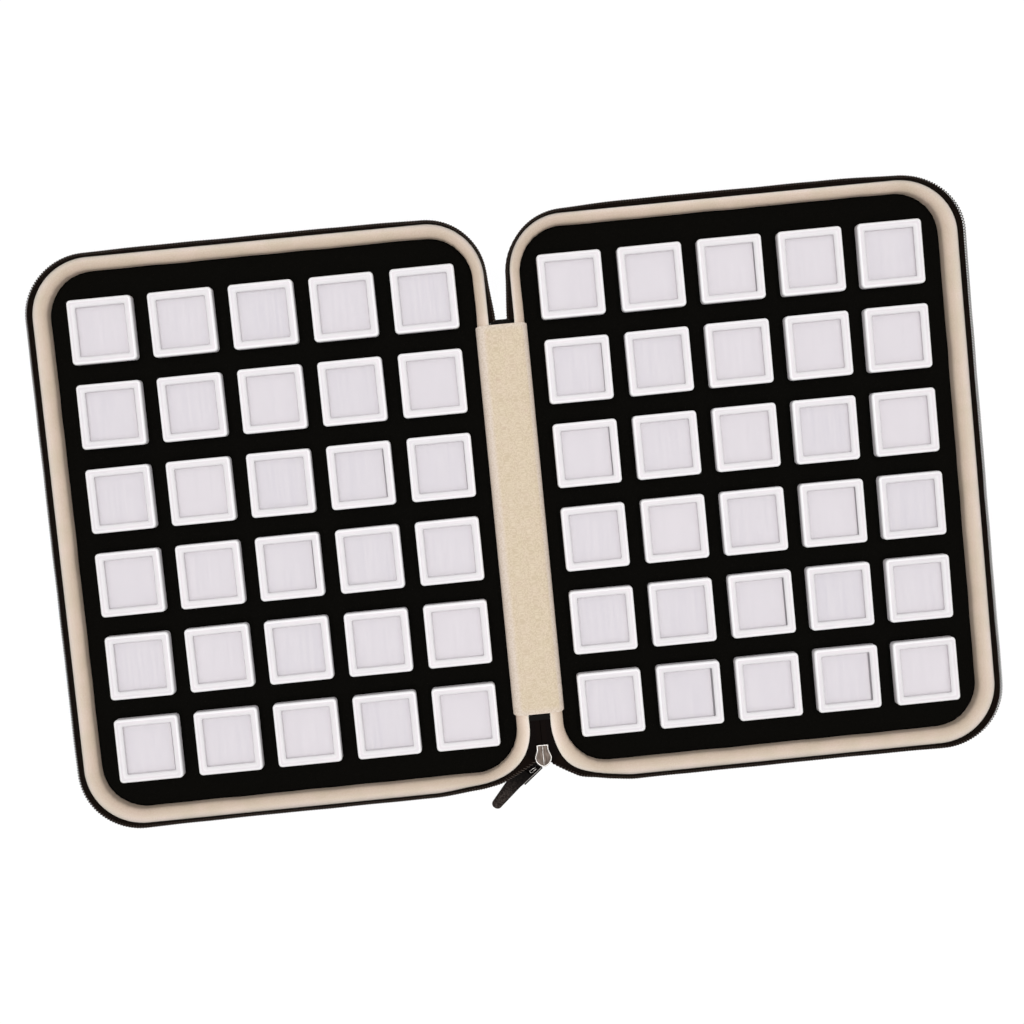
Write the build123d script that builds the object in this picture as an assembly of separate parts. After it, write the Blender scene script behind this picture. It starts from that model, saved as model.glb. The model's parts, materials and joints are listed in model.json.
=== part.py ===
from build123d import *

import math
import os

# Zippered storage case for sixty gem boxes, lying open on a table like a book.
# Millimetres. X runs across the open case, Y from its front (where the zip ends) to its back, Z up.
# The fold lines run along Y beside X = 0, and the origin is on the table under the middle of the outline.

# Gem boxes
columns = 5
rows = 6
box_side = 30.0
box_floor = 1.2
base_step = 0.8
base_height = 12.0
lip_height = 2.4
lip_wall = 1.2
lid_height = 5.5
lid_plate = 1.8
lid_wall = 1.1
lid_play = 0.2
window_frame = 3.6
window_bevel = 1.5
pane_thickness = 1.0
pane_play = 0.3
pad_play = 0.25
pad_headroom = 0.4

# Foam insert
box_above_foam = 7.0
pocket_play = 0.3
pocket_floor = 2.5
foam_play = 0.2
column_gap = 7.4
row_gap = 9.3
spine_margin = 8.8
outer_margin = 10.1
end_margin = 13.75

# Moulded shells
cavity_radius = 21.0
rim_width = 6.0
shell_floor = 3.5
shell_edge_radius = 8.0
shell_edge_steps = 2
lining_thickness = 1.0
lining_play = 0.1
roll_bevel = 2.0

# Spine, with its ends set in from the back and the front of the rims
rim_gap = 10.0
fold_inset = 0.2
fold_play = 0.3
band_thickness = 0.9
band_play = 0.1
band_back_inset = 50.4
band_front_inset = 32.6
cover_thickness = 1.3
cover_back_inset = 47.2
cover_front_inset = 29.5

# Zipper tapes and coils
tape_thickness = 0.6
tape_sewn_depth = 9.0
coil_thickness = 1.4
gore_drop = 0.9
coil_meeting_gap = 0.3
tape_end_play = 0.3
gore_reach_x = 10.7
gore_tip_inset = 6.0
gore_mouth_inset = 9.7

# Closed end of the zipper
tail_half_width = 4.0
tail_drop = 0.6
tail_front_inset = 12.5
chain_half_width = 1.8
chain_drop = 0.85

# Slider
slider_back_inset = 18.1
slider_neck_half = 2.8
slider_neck_length = 2.6
slider_wide_half = 4.0
slider_wide_at = 5.9
slider_length = 10.6
slider_plate = 1.0
slider_channel = 2.0
slider_lip_width = 0.7
slider_lip_height = 0.5
slider_mouth_at = 6.6
divider_half_width = 1.1
divider_length = 2.6
bridge_half_width = 0.55
bridge_leg = 0.8
bridge_gap_length = 4.2
bridge_gap_height = 1.6
bridge_back_at = 3.4

# Pull, hanging from the slider with its end on the table
pull_skew = 42.4
pull_slope = 26.7
pull_pivot_at = 6.0
bail_bar = 0.9
bail_side = 0.9
bail_thickness = 1.0
bail_length = 15.5
eye_width = 4.6
eye_end = 3.2
slot_width = 2.1
slot_start = 5.0
slot_end = 9.4
tab_start = 9.9
tab_taper_start = 16.5
tab_end = 41.6
tab_head_width = 5.6
tab_tip_width = 4.8
tab_thickness = 2.4

# Worked out from the sizes above
base_side = box_side - 2 * base_step
box_inside = box_side - 2 * (lid_wall + lid_play + lip_wall)
window_side = box_side - 2 * window_frame
pocket_side = base_side + 2 * pocket_play
column_pitch = box_side + column_gap
row_pitch = box_side + row_gap
cavity_width = (columns - 1) * column_pitch + pocket_side + spine_margin + outer_margin
cavity_length = (rows - 1) * row_pitch + pocket_side + 2 * end_margin
grid_offset = (outer_margin - spine_margin) / 2
box_height = base_height + lid_height
box_bottom_z = shell_floor + pocket_floor
rim_top = box_bottom_z + box_height
foam_top = rim_top - box_above_foam
fold_z = rim_top + band_play + band_thickness
fold_x = rim_gap / 2 - fold_inset
half_width = cavity_width + 2 * rim_width
half_length = cavity_length + 2 * rim_width
rim_radius = cavity_radius + rim_width
half_centre = rim_gap / 2 + half_width / 2
grid_centre = half_centre - grid_offset
rim_back = half_length / 2
rim_front = -half_length / 2
band_back = rim_back - band_back_inset
band_front = rim_front + band_front_inset
cover_back = rim_back - cover_back_inset
cover_front = rim_front + cover_front_inset
gore_tip_y = rim_front + gore_tip_inset
gore_mouth_y = rim_front + gore_mouth_inset
tail_front = rim_front + tail_front_inset
slider_back = rim_front + slider_back_inset
coil_top = fold_z + fold_x - coil_meeting_gap / 2
gore_top = rim_top - gore_drop
chain_z = rim_top - tail_drop
pivot_z = chain_z - slider_channel / 2 - slider_plate - bridge_gap_height / 2
pivot_y = slider_back - pull_pivot_at
bail_width = eye_width + 2 * bail_side

# The pull overhangs the front, so the case itself lies a little behind the origin
tab_tip_reach = (tab_end - tab_tip_width / 2) * math.cos(math.radians(pull_slope))
front_reach = tab_tip_reach * math.cos(math.radians(pull_skew)) + tab_tip_width / 2 - pivot_y
back_reach = rim_back + (tape_thickness + coil_thickness) / 2
case_shift = (front_reach - back_reach) / 2

os.makedirs("parts", exist_ok=True)


def write(name, shape):
    """Move a finished sub-part from the case's own middle to the origin's frame and write it."""
    export_step(Pos(0, case_shift, 0) * shape, f"parts/{name}.step")


def rim_outline(inset):
    """Rounded outline of one half at the rim, drawn in by the inset."""
    return RectangleRounded(half_width - 2 * inset, half_length - 2 * inset, rim_radius - inset)


def prism(face, low, high):
    """Solid between two heights over a flat outline."""
    return extrude(Pos(0, 0, low) * face, amount=high - low)


def tapered(low_face, high_face, low, high):
    """Solid with straight sloping sides between a lower and an upper outline."""
    return loft([Pos(0, 0, low) * low_face, Pos(0, 0, high) * high_face], ruled=True)


def mirrored(shape):
    """The same piece on the right half of the case."""
    return mirror(shape, about=Plane.YZ)


def placed_left(shape):
    """From the middle of one half to where the left half lies."""
    return Pos(-half_centre, 0, 0) * shape


def make_shell():
    """Moulded EVA shell with a rounded lower edge, open at the top."""
    wall_top = rim_top - roll_bevel
    turns = [math.radians(90 * k / shell_edge_steps) for k in range(shell_edge_steps + 1)]
    radius = shell_edge_radius
    edge = [Pos(0, 0, radius - radius * math.cos(t)) * rim_outline(radius - radius * math.sin(t)) for t in turns]
    outer = loft(edge, ruled=True) + prism(rim_outline(0), radius, wall_top)
    wall = rim_width - lining_thickness - lining_play
    return outer - prism(rim_outline(wall), shell_floor, rim_top)


def make_rim_lining():
    """Lining sheet up the inside wall, turned over the rim in a padded roll."""
    roll_low = rim_top - roll_bevel
    outside = tapered(rim_outline(0), rim_outline(roll_bevel), roll_low, rim_top)
    inside = tapered(rim_outline(rim_width), rim_outline(rim_width - roll_bevel), roll_low, rim_top)
    sheet_low = shell_floor + lining_play
    sheet = prism(rim_outline(rim_width - lining_thickness) - rim_outline(rim_width), sheet_low, roll_low)
    return outside - inside + sheet


def make_foam_insert():
    """Black foam block with a square pocket for each gem box."""
    block = prism(rim_outline(rim_width + foam_play), shell_floor, foam_top)
    pocket = prism(Rectangle(pocket_side, pocket_side), box_bottom_z, foam_top)
    grid = GridLocations(column_pitch, row_pitch, columns, rows)
    return block - [Pos(grid_offset, 0, 0) * spot * pocket for spot in grid]


def make_box_base():
    """Lower half of a gem box, with a thinner lip that the lid slides over."""
    lip_side = box_inside + 2 * lip_wall
    body = prism(Rectangle(base_side, base_side), 0, base_height)
    lip = prism(Rectangle(lip_side, lip_side), base_height, base_height + lip_height)
    inside = prism(Rectangle(box_inside, box_inside), box_floor, base_height + lip_height)
    return body + lip - inside


def make_box_lid():
    """Lid frame: a skirt round the lip and a top plate with a bevelled square window opening."""
    lip_pocket = box_side - 2 * lid_wall
    plate_low = box_height - lid_plate
    bevel_side = window_side + 2 * window_bevel
    body = prism(Rectangle(box_side, box_side), base_height, box_height)
    pocket = prism(Rectangle(lip_pocket, lip_pocket), base_height, plate_low)
    far = window_bevel + window_side
    funnel = Rot(-90, 0, 0) * Wedge(bevel_side, lid_plate, bevel_side, window_bevel, window_bevel, far, far)
    opening = Pos(0, 0, (plate_low + box_height) / 2) * funnel
    return body - pocket - opening


def make_box_pane():
    """Clear pane under the lid's top plate."""
    side = box_side - 2 * lid_wall - 2 * pane_play
    pane_high = box_height - lid_plate
    return prism(Rectangle(side, side), pane_high - pane_thickness, pane_high)


def make_box_pad():
    """Foam pad that fills the base and holds a stone up against the pane."""
    side = box_inside - 2 * pad_play
    pad_high = box_height - lid_plate - pane_thickness - pad_headroom
    return prism(Rectangle(side, side), box_floor, pad_high)


def box_column(piece, column):
    """One piece repeated down a column of the left half's grid."""
    x = -grid_centre + (column - (columns - 1) / 2) * column_pitch
    spots = [(row - (rows - 1) / 2) * row_pitch for row in range(rows)]
    return Compound([Pos(x, y, box_bottom_z) * piece for y in spots])


def tape_run(inner, outer, low, high):
    """Band round one half between two distances out from the rim, open at the spine and the slider."""
    ring = prism(rim_outline(-outer) - rim_outline(-inner), low, high)
    spine_length = cover_back - cover_front + 2 * tape_end_play
    spine_middle = Pos(half_centre - rim_gap / 2, (cover_back + cover_front) / 2)
    spine_room = prism(spine_middle * Rectangle(rim_gap, spine_length), 0, coil_top)
    mouth_length = cover_front - rim_front
    mouth_middle = Pos(half_centre - gore_reach_x / 2, cover_front - mouth_length / 2)
    mouth_room = prism(mouth_middle * Rectangle(gore_reach_x, mouth_length), gore_top, coil_top)
    return ring - spine_room - mouth_room


def make_zipper_tape():
    """Woven tape standing round the rim, sewn on below it and turned in flat towards the slider."""
    tape = tape_run(0, tape_thickness, rim_top - tape_sewn_depth, coil_top - coil_thickness)
    inner_x = half_centre - tail_half_width - fold_play
    gore_x = half_centre - gore_reach_x
    start_y = cover_front - tape_end_play
    corners = [(inner_x, start_y), (inner_x, gore_mouth_y), (gore_x, gore_tip_y), (gore_x, start_y)]
    gore = make_face(Polyline(*corners, close=True)) - rim_outline(-tape_thickness / 2)
    return tape + prism(gore, gore_top - tape_thickness, gore_top)


def make_zipper_coil():
    """Half of the coil chain along the tape's upper edge."""
    inner = (tape_thickness - coil_thickness) / 2
    return tape_run(inner, inner + coil_thickness, coil_top - coil_thickness, coil_top)


def make_band_flap():
    """Edge of the spine's inner band, carried over the rim and down beside the foam."""
    edge_x = -fold_x - fold_play
    inside_x = -rim_gap / 2 - rim_width - band_play
    low = fold_z - band_thickness
    crest_x = inside_x + roll_bevel
    bend_z = low - roll_bevel
    tuck_z = foam_top + 2 * foam_play
    half_bend = math.radians(45 / 2)
    slant = band_thickness * math.tan(half_bend)
    outline = Polyline(
        (edge_x, low),
        (edge_x, fold_z),
        (crest_x - slant, fold_z),
        (inside_x - band_thickness, bend_z + slant),
        (inside_x - band_thickness, tuck_z),
        (inside_x, tuck_z),
        (inside_x, bend_z),
        (crest_x, low),
        close=True,
    )
    upright = Plane(origin=(0, band_back, 0), x_dir=(1, 0, 0), z_dir=(0, -1, 0))
    return extrude(make_face(upright * outline), amount=band_back - band_front, dir=(0, -1, 0))


def make_spine_band():
    """Middle strip of the spine's inner band, between the two fold lines."""
    width = 2 * (fold_x - fold_play)
    strip = Pos(0, (band_back + band_front) / 2) * Rectangle(width, band_back - band_front)
    return prism(strip, fold_z - band_thickness, fold_z)


def make_spine_cover():
    """Outer fabric of the spine, under the inner band."""
    width = 2 * (fold_x - fold_play)
    strip = Pos(0, (cover_back + cover_front) / 2) * Rectangle(width, cover_back - cover_front)
    cover_top = fold_z - band_thickness
    return prism(strip, cover_top - cover_thickness, cover_top)


def make_zipper_tail():
    """Closed end of the zipper: both tapes side by side with the meshed coils beneath."""
    length = cover_front - tail_front
    middle_y = (cover_front + tail_front) / 2
    tape = Pos(0, middle_y) * Rectangle(2 * tail_half_width, length)
    chain = Pos(0, middle_y) * Rectangle(2 * chain_half_width, length)
    tape_low = chain_z - tape_thickness / 2
    return prism(tape, tape_low, chain_z + tape_thickness / 2) + prism(chain, chain_z - chain_drop, tape_low)


def slider_outline(inset):
    """Shield outline of the slider, neck towards the back, drawn in by the inset."""
    neck = slider_neck_half - inset
    wide = slider_wide_half - inset
    back_y = slider_back - inset
    wide_y = slider_back - slider_wide_at
    tip_y = slider_back - slider_length + inset
    side = Polyline((0, back_y), (neck, back_y), (neck, slider_back - slider_neck_length), (wide, wide_y))
    half = side + TangentArc((wide, wide_y), (0, tip_y), tangent=(0, -1))
    return make_face(half + mirror(half, about=Plane.YZ))


def make_slider():
    """Zip slider: two plates, side lips that hold the tapes, a divider, and a bridge for the pull."""
    half_channel = slider_channel / 2
    outline = slider_outline(0)
    upper = prism(outline, chain_z + half_channel, chain_z + half_channel + slider_plate)
    lower = prism(outline, chain_z - half_channel - slider_plate, chain_z - half_channel)
    mouth_y = slider_back - slider_mouth_at
    keep = Pos(0, (slider_back + mouth_y) / 2) * Rectangle(2 * slider_wide_half, slider_mouth_at)
    lip = (outline - slider_outline(slider_lip_width) - Pos(0, slider_back) * Rectangle(
        2 * (slider_neck_half - slider_lip_width), 4 * slider_lip_width
    )) & keep
    upper_lips = prism(lip, chain_z + half_channel - slider_lip_height, chain_z + half_channel)
    lower_lips = prism(lip, chain_z - half_channel, chain_z - half_channel + slider_lip_height)
    divider_y = mouth_y - divider_length / 2
    cheek = ThreePointArc((0, mouth_y), (divider_half_width, divider_y), (0, mouth_y - divider_length))
    lens = make_face(cheek + mirror(cheek, about=Plane.YZ))
    divider = prism(lens, chain_z - half_channel, chain_z + half_channel)
    bridge_top = chain_z - half_channel - slider_plate
    bridge_back = slider_back - bridge_back_at + bridge_leg
    bridge_length = bridge_gap_length + 2 * bridge_leg
    bridge_depth = bridge_gap_height + bridge_leg
    block = Pos(0, bridge_back - bridge_length / 2, bridge_top - bridge_depth / 2) * Box(
        2 * bridge_half_width, bridge_length, bridge_depth
    )
    gap = Pos(0, bridge_back - bridge_length / 2, bridge_top - bridge_gap_height / 2) * Box(
        2 * bridge_half_width, bridge_gap_length, bridge_gap_height
    )
    return upper + lower + upper_lips + lower_lips + divider + (block - gap)


def pull_frame():
    """Plane of the pull: its X runs from the pivot down to the tab's end, its Z out of the flat face."""
    slope = math.radians(pull_slope)
    skew = math.radians(pull_skew)
    along = Vector(-math.sin(skew) * math.cos(slope), -math.cos(skew) * math.cos(slope), -math.sin(slope))
    across = Vector(math.cos(skew), -math.sin(skew), 0)
    return Plane(origin=(0, pivot_y, pivot_z), x_dir=along, z_dir=along.cross(across))


def make_pull_bail():
    """Metal plate whose bar turns in the slider's bridge: a wide eye clears the bridge and narrows to a slot."""
    bar = bail_bar / 2
    eye = eye_width / 2
    slot = slot_width / 2
    slot_round = slot_end - slot
    plate = Pos((bail_length - bar) / 2, 0) * Rectangle(bail_length + bar, bail_width)
    side = Polyline((bar, 0), (bar, eye), (eye_end, eye), (slot_start, slot), (slot_round, slot))
    half = side + TangentArc((slot_round, slot), (slot_end, 0), tangent=(1, 0))
    opening = make_face(half + mirror(half, about=Plane.XZ))
    bail = extrude(Pos(0, 0, -bail_thickness / 2) * (plate - opening), amount=bail_thickness)
    return pull_frame() * bail


def make_pull_tab():
    """Grip moulded over the bail's plate, narrowing to a round end."""
    head = tab_head_width / 2
    tip = tab_tip_width / 2
    tip_centre = tab_end - tip
    outline = [
        Line((tab_start, -head), (tab_start, head)),
        Line((tab_start, head), (tab_taper_start, head)),
        Line((tab_taper_start, head), (tip_centre, tip)),
        ThreePointArc((tip_centre, tip), (tab_end, 0), (tip_centre, -tip)),
        Line((tip_centre, -tip), (tab_taper_start, -head)),
        Line((tab_taper_start, -head), (tab_start, -head)),
    ]
    grip = extrude(Pos(0, 0, -tab_thickness / 2) * make_face(Wire(outline)), amount=tab_thickness)
    return pull_frame() * grip - make_pull_bail()


def write_half():
    """The pieces that each half has, made on the left and mirrored to the right."""
    pieces = {
        "shell": placed_left(make_shell()),
        "rim_lining": placed_left(make_rim_lining()),
        "foam_insert": placed_left(make_foam_insert()),
        "zipper_tape": placed_left(make_zipper_tape()),
        "zipper_coil": placed_left(make_zipper_coil()),
        "band_flap": make_band_flap(),
    }
    for name, shape in pieces.items():
        write(f"left_{name}", shape)
        write(f"right_{name}", mirrored(shape))


def write_boxes():
    """Gem boxes, one node for each kind of piece in each column, counted outwards from the spine."""
    pieces = {
        "box_bases": make_box_base(),
        "box_lids": make_box_lid(),
        "box_panes": make_box_pane(),
        "box_pads": make_box_pad(),
    }
    for name, piece in pieces.items():
        for column in range(columns):
            number = columns - column
            group = box_column(piece, column)
            write(f"left_{name}_{number}", group)
            write(f"right_{name}_{number}", mirrored(group))


def write_spine():
    """The spine, the closed end of the zip, and the slider with its pull."""
    write("spine_band", make_spine_band())
    write("spine_cover", make_spine_cover())
    write("zipper_tail", make_zipper_tail())
    write("zip_slider", make_slider())
    write("pull_bail", make_pull_bail())
    write("pull_tab", make_pull_tab())


write_half()
write_boxes()
write_spine()
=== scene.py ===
import json
import math

import bmesh
import bpy
import numpy as np
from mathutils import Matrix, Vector


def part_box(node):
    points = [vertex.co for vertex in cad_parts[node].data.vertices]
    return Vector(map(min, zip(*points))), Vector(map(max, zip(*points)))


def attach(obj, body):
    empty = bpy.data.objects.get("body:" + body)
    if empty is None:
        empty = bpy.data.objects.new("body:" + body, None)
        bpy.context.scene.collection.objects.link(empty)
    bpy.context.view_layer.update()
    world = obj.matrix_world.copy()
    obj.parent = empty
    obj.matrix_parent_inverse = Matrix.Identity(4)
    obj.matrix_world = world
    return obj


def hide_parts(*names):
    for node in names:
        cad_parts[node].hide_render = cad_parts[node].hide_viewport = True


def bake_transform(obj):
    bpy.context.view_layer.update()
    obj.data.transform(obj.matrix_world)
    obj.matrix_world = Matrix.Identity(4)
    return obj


# Looks of a zippered gem box case, lying open on a table. Metres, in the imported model's own frame.
# Shapes that both halves share are worked out for the right one and mirrored to the left.

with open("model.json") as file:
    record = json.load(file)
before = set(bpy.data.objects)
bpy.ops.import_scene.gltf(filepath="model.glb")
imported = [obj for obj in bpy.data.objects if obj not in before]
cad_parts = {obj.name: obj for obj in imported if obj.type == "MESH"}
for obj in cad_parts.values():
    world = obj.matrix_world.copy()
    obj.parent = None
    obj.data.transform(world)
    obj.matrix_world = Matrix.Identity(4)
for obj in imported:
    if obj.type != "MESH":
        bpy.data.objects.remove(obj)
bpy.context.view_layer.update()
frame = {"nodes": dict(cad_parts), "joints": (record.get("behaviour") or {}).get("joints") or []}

MM = 0.001
SIDES = {"left": -1, "right": 1}
COLUMNS = 5
ROWS = 6


def corners(node):
    """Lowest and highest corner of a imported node, as two numpy rows."""
    return np.array([list(corner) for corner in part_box(node)])


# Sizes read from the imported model
RIM = corners("right_rim_lining")
SHELL = corners("right_shell")
TAPE = corners("right_zipper_tape")
BAND = corners("spine_band")
FLAP = corners("right_band_flap")
COVER = corners("spine_cover")
SLIDER = corners("zip_slider")
RIM_MIDDLE = (RIM[0] + RIM[1])[:2] / 2
RIM_HALF = (RIM[1] - RIM[0])[:2] / 2
RIM_TOP = RIM[1][2]
FOAM_TOP = corners("right_foam_insert")[1][2]

# Moulded halves
RIM_RADIUS = 27.0 * MM
RIM_WIDTH = 6.0 * MM
RIM_CREST = 3.0 * MM
SHELL_WALL = 4.9 * MM
SHELL_FLOOR = 3.5 * MM
SHELL_EDGE = 8.0 * MM
RUN_STEP = 2.2 * MM
# How far the rim's inner edge wavers, and how deep the creases are where it goes round the corners
RIM_WAVER = 0.18 * MM
RIM_CREASE = 0.16 * MM
WAVER_SEEDS = {"left": 3, "right": 8}
POCKET_GAP = 0.3 * MM
POCKET_LIP = 0.5 * MM
POCKET_CORNER = 1.2 * MM

# Zipper
TAPE_THICKNESS = 0.6 * MM
BEND_BELOW_RIM = 1.5 * MM
BEND_LENGTH = 1.4 * MM
TAPE_FREE = 6.4 * MM
COIL_PITCH = 1.25 * MM
COIL_WIRE = 0.24 * MM
COIL_TURN = 0.44 * MM
CENTRE_GAP = 0.15 * MM
LEAN_CORNERS = 0.5 * MM
TAPE_WAVER = 0.12 * MM
# The strip woven over the coil, counted in from the tape's edge, and how softly it ends
WOVEN_STRIP = 2.3 * MM
WOVEN_STRIP_FADE = 0.6 * MM
# How far the tape's edge leans out, and how far the padding swells: on the outer side, in front and behind
LEAN = {"left": np.array((0.6, 0.0, 1.1)) * MM, "right": np.array((0.3, 0.1, 1.8)) * MM}
SWELL = {"left": np.array((0.5, 0.4, -0.2)) * MM, "right": np.array((0.9, 0.6, -0.9)) * MM}
# The same by the notch behind the spine, and the length in which the tape's lean there fades out
LEAN_NOTCH = {"left": 2.7 * MM, "right": 3.0 * MM}
SWELL_NOTCH = {"left": -0.6 * MM, "right": -1.3 * MM}
LEAN_FADE = {"left": 27.0 * MM, "right": 37.0 * MM}
# The lean starts to fade so far before the end of the rim's straight. The padding starts to sink so far before
# the spine cover's end, over this length, and the tape begins there.
LEAN_NOTCH_BEFORE = 22.0 * MM
SWELL_NOTCH_BEFORE = 6.0 * MM
SWELL_NOTCH_LENGTH = 5.0 * MM
TAPE_BEFORE_COVER_END = 0.7 * MM
# Where the padding is pressed in (negative) or bulges by the zip's closed end: amount, middle and half length
# of the place, counted along the run from the start of the front corner by the spine
PRESSED = {
    "left": np.array([(-2.1, 5.0, 26.0)]) * MM,
    "right": np.array([(-1.5, 5.0, 16.0), (0.7, 24.0, 12.0)]) * MM,
}
# Edge of the lying tape, from beside the slider to where it stands up again: out from the centre and from
# the front
GORE = {
    "left": np.array([(4.5, 10.5), (19.0, 3.7)]) * MM,
    "right": np.array([(4.5, 9.1), (15.5, 3.2)]) * MM,
}
GORE_FADE = math.radians(18)
# The lying stretch of the zipper ends at this angle of the front corner, seen from its straight by the spine
LYING_ANGLE = math.radians(66)
# The coil's middle: past the edge where the tape stands, and under it where the tape lies
COIL_BESIDE = 0.25 * MM
COIL_BENEATH = 1.0 * MM
# How far the coil is moved in from the edge seen from above, and how far out on the outer side
COIL_BACK = 0.35 * MM
COIL_SIDE = {"left": 0.15 * MM, "right": 0.6 * MM}
STITCH_LENGTH = 2.8 * MM
STITCH_BELOW_RIM = 7.0 * MM
THREAD_RADIUS = 0.16 * MM

# Spine: distances out from the centre where the band's and the hinge cloth's points gather, and an outward
# reach given for the tape
FOLD_START = 5.3 * MM
FOLD_END = 4.2 * MM
WEB_FOLD_OUT = 0.5 * MM
BAND_LONGER = 1.0 * MM
BAND_TUCKED_SHORTER = 2.2 * MM
# Where the band starts to be painted paler, a painted highlight, past the rim's crest, and over what length
BAND_PAINTED_HIGHLIGHT = {"left": np.array((-0.6, 1.2)) * MM, "right": np.array((1.4, 0.8)) * MM}

# Slider and pull
SLIDER_NECK = 2.8 * MM
SLIDER_NECK_END = 2.6 * MM
SLIDER_WIDE = 4.0 * MM
SLIDER_WIDE_AT = 5.9 * MM
RIDGE_HALF_WIDTH = 0.18 * MM
RIDGE_END_HALF_WIDTH = 0.03 * MM
RIDGE_HEIGHT = 0.16 * MM
PULL_SLOPE = math.radians(26.7)
TAB_START = 12.8 * MM
TAB_TIP = 2.5 * MM
TAB_END = 41.6 * MM
# The grip's left and right edge at places along the pull: it is widest just past the plate
TAB_SPOTS = np.array((12.8, 17.0, 20.0, 22.0, 39.1)) * MM
TAB_LEFT = np.array((3.3, 5.4, 5.3, 5.0, 3.3)) * MM
TAB_RIGHT = np.array((2.5, 2.5, 2.4, 2.1, 1.7)) * MM
TAB_HALF_THICKNESS = 1.2 * MM
HATCH_PITCH = 1.1 * MM
HATCH_DEPTH = 0.05 * MM
SLOT_HALF = 1.05 * MM
SLOT_FILL = 5.8 * MM
SLOT_END = 9.4 * MM
TONGUE_HALF_THICKNESS = 0.42 * MM
BAIL_HALF_THICKNESS = 0.5 * MM
# Radii of the beads: the painted highlight round the slot, the painted shine along the plate, and the folded
# side
HIGHLIGHT_LOOP_BEAD = 0.18 * MM
SHINE_BEAD = 0.21 * MM
FOLD_BEAD = 0.36 * MM
# The plate's folded side and the shine on it: where they start along the pull, then their length, place
# across, how far they draw in, and height over the plate's face
FOLD_FROM = 6.0 * MM
SHINE_LINE = np.array((13.3, 3.2, 0.9, 0.15)) * MM
FOLD_LINE = np.array((13.8, 3.65, 0.75, -0.3)) * MM

# Gem boxes: each has its own small shift and turn
BOX_CORNER = 1.8 * MM
WINDOW_CORNER = 0.5 * MM
CORNER_STEPS = 4
BOX_SHIFT = 0.12 * MM
BOX_TURN = math.radians(0.3)
# A pad's shortfall is drawn from this range, and only what is more than the least counts
PAD_SHORTFALL = (-2.2, 1.7)
PAD_SHORTFALL_LEAST = 0.9 * MM

# Camera: its place from the middle of the spine at the rim's height, its turn in degrees and its lens
CAMERA_PLACE = np.array((-10.75, 32.21, 699.03)) * MM
CAMERA_TURN = (-2.90695, -0.88905, -5.60183)
CAMERA_LENS = 52.734


def smooth(x):
    """Smooth step from 0 to 1 as x goes from 0 to 1."""
    x = np.clip(x, 0.0, 1.0)
    return x * x * (3.0 - 2.0 * x)


def waves(distance, lengths, seed):
    """Sum of sines with the given wavelengths and seeded phases, scaled to about -1 to 1."""
    phases = np.random.default_rng(seed).uniform(0, 2 * math.pi, len(lengths))
    total = sum(np.sin(2 * math.pi * distance / size + phase) for size, phase in zip(lengths, phases))
    return total / len(lengths)


def unit(rows):
    """Rows scaled to a length of 1."""
    return rows / np.linalg.norm(rows, axis=1, keepdims=True)


# Meshes from grids of points


def patch(points, wrap_u=False, wrap_v=False, caps=False, uv=None, tone=0.0):
    """A grid of points as faces: quads between neighbours, wrapped where a direction is closed.

    With caps, the first and the last row, closed loops both, are filled with one face each.
    uv holds a map coordinate for each point, one row or column longer where a direction is wrapped.
    tone is a number for each point, kept as the attribute tone.
    """
    rows, columns = points.shape[:2]
    index = np.arange(rows * columns).reshape(rows, columns)
    if wrap_u:
        index = np.vstack([index, index[:1]])
    if wrap_v:
        index = np.hstack([index, index[:, :1]])
    quads = np.stack([index[:-1, :-1], index[1:, :-1], index[1:, 1:], index[:-1, 1:]], axis=-1)
    if uv is None:
        uv = np.zeros(index.shape + (2,))
    maps = np.stack([uv[:-1, :-1], uv[1:, :-1], uv[1:, 1:], uv[:-1, 1:]], axis=2)
    ends = []
    if caps:
        ends = [index[0, :columns], index[-1, :columns][::-1]]
    return {
        "points": points.reshape(-1, 3),
        "quads": quads.reshape(-1, 4),
        "maps": maps.reshape(-1, 2),
        "ends": ends,
        "tone": np.broadcast_to(tone, (rows, columns)).ravel(),
    }


def mirrored(part):
    """The same patch on the other side of x = 0, with its faces turned round again."""
    return {
        "points": part["points"] * (-1, 1, 1),
        "quads": part["quads"][:, ::-1],
        "maps": part["maps"].reshape(-1, 4, 2)[:, ::-1].reshape(-1, 2) * (-1, 1),
        "ends": [end[::-1] for end in part["ends"]],
        "tone": part["tone"],
    }


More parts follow.
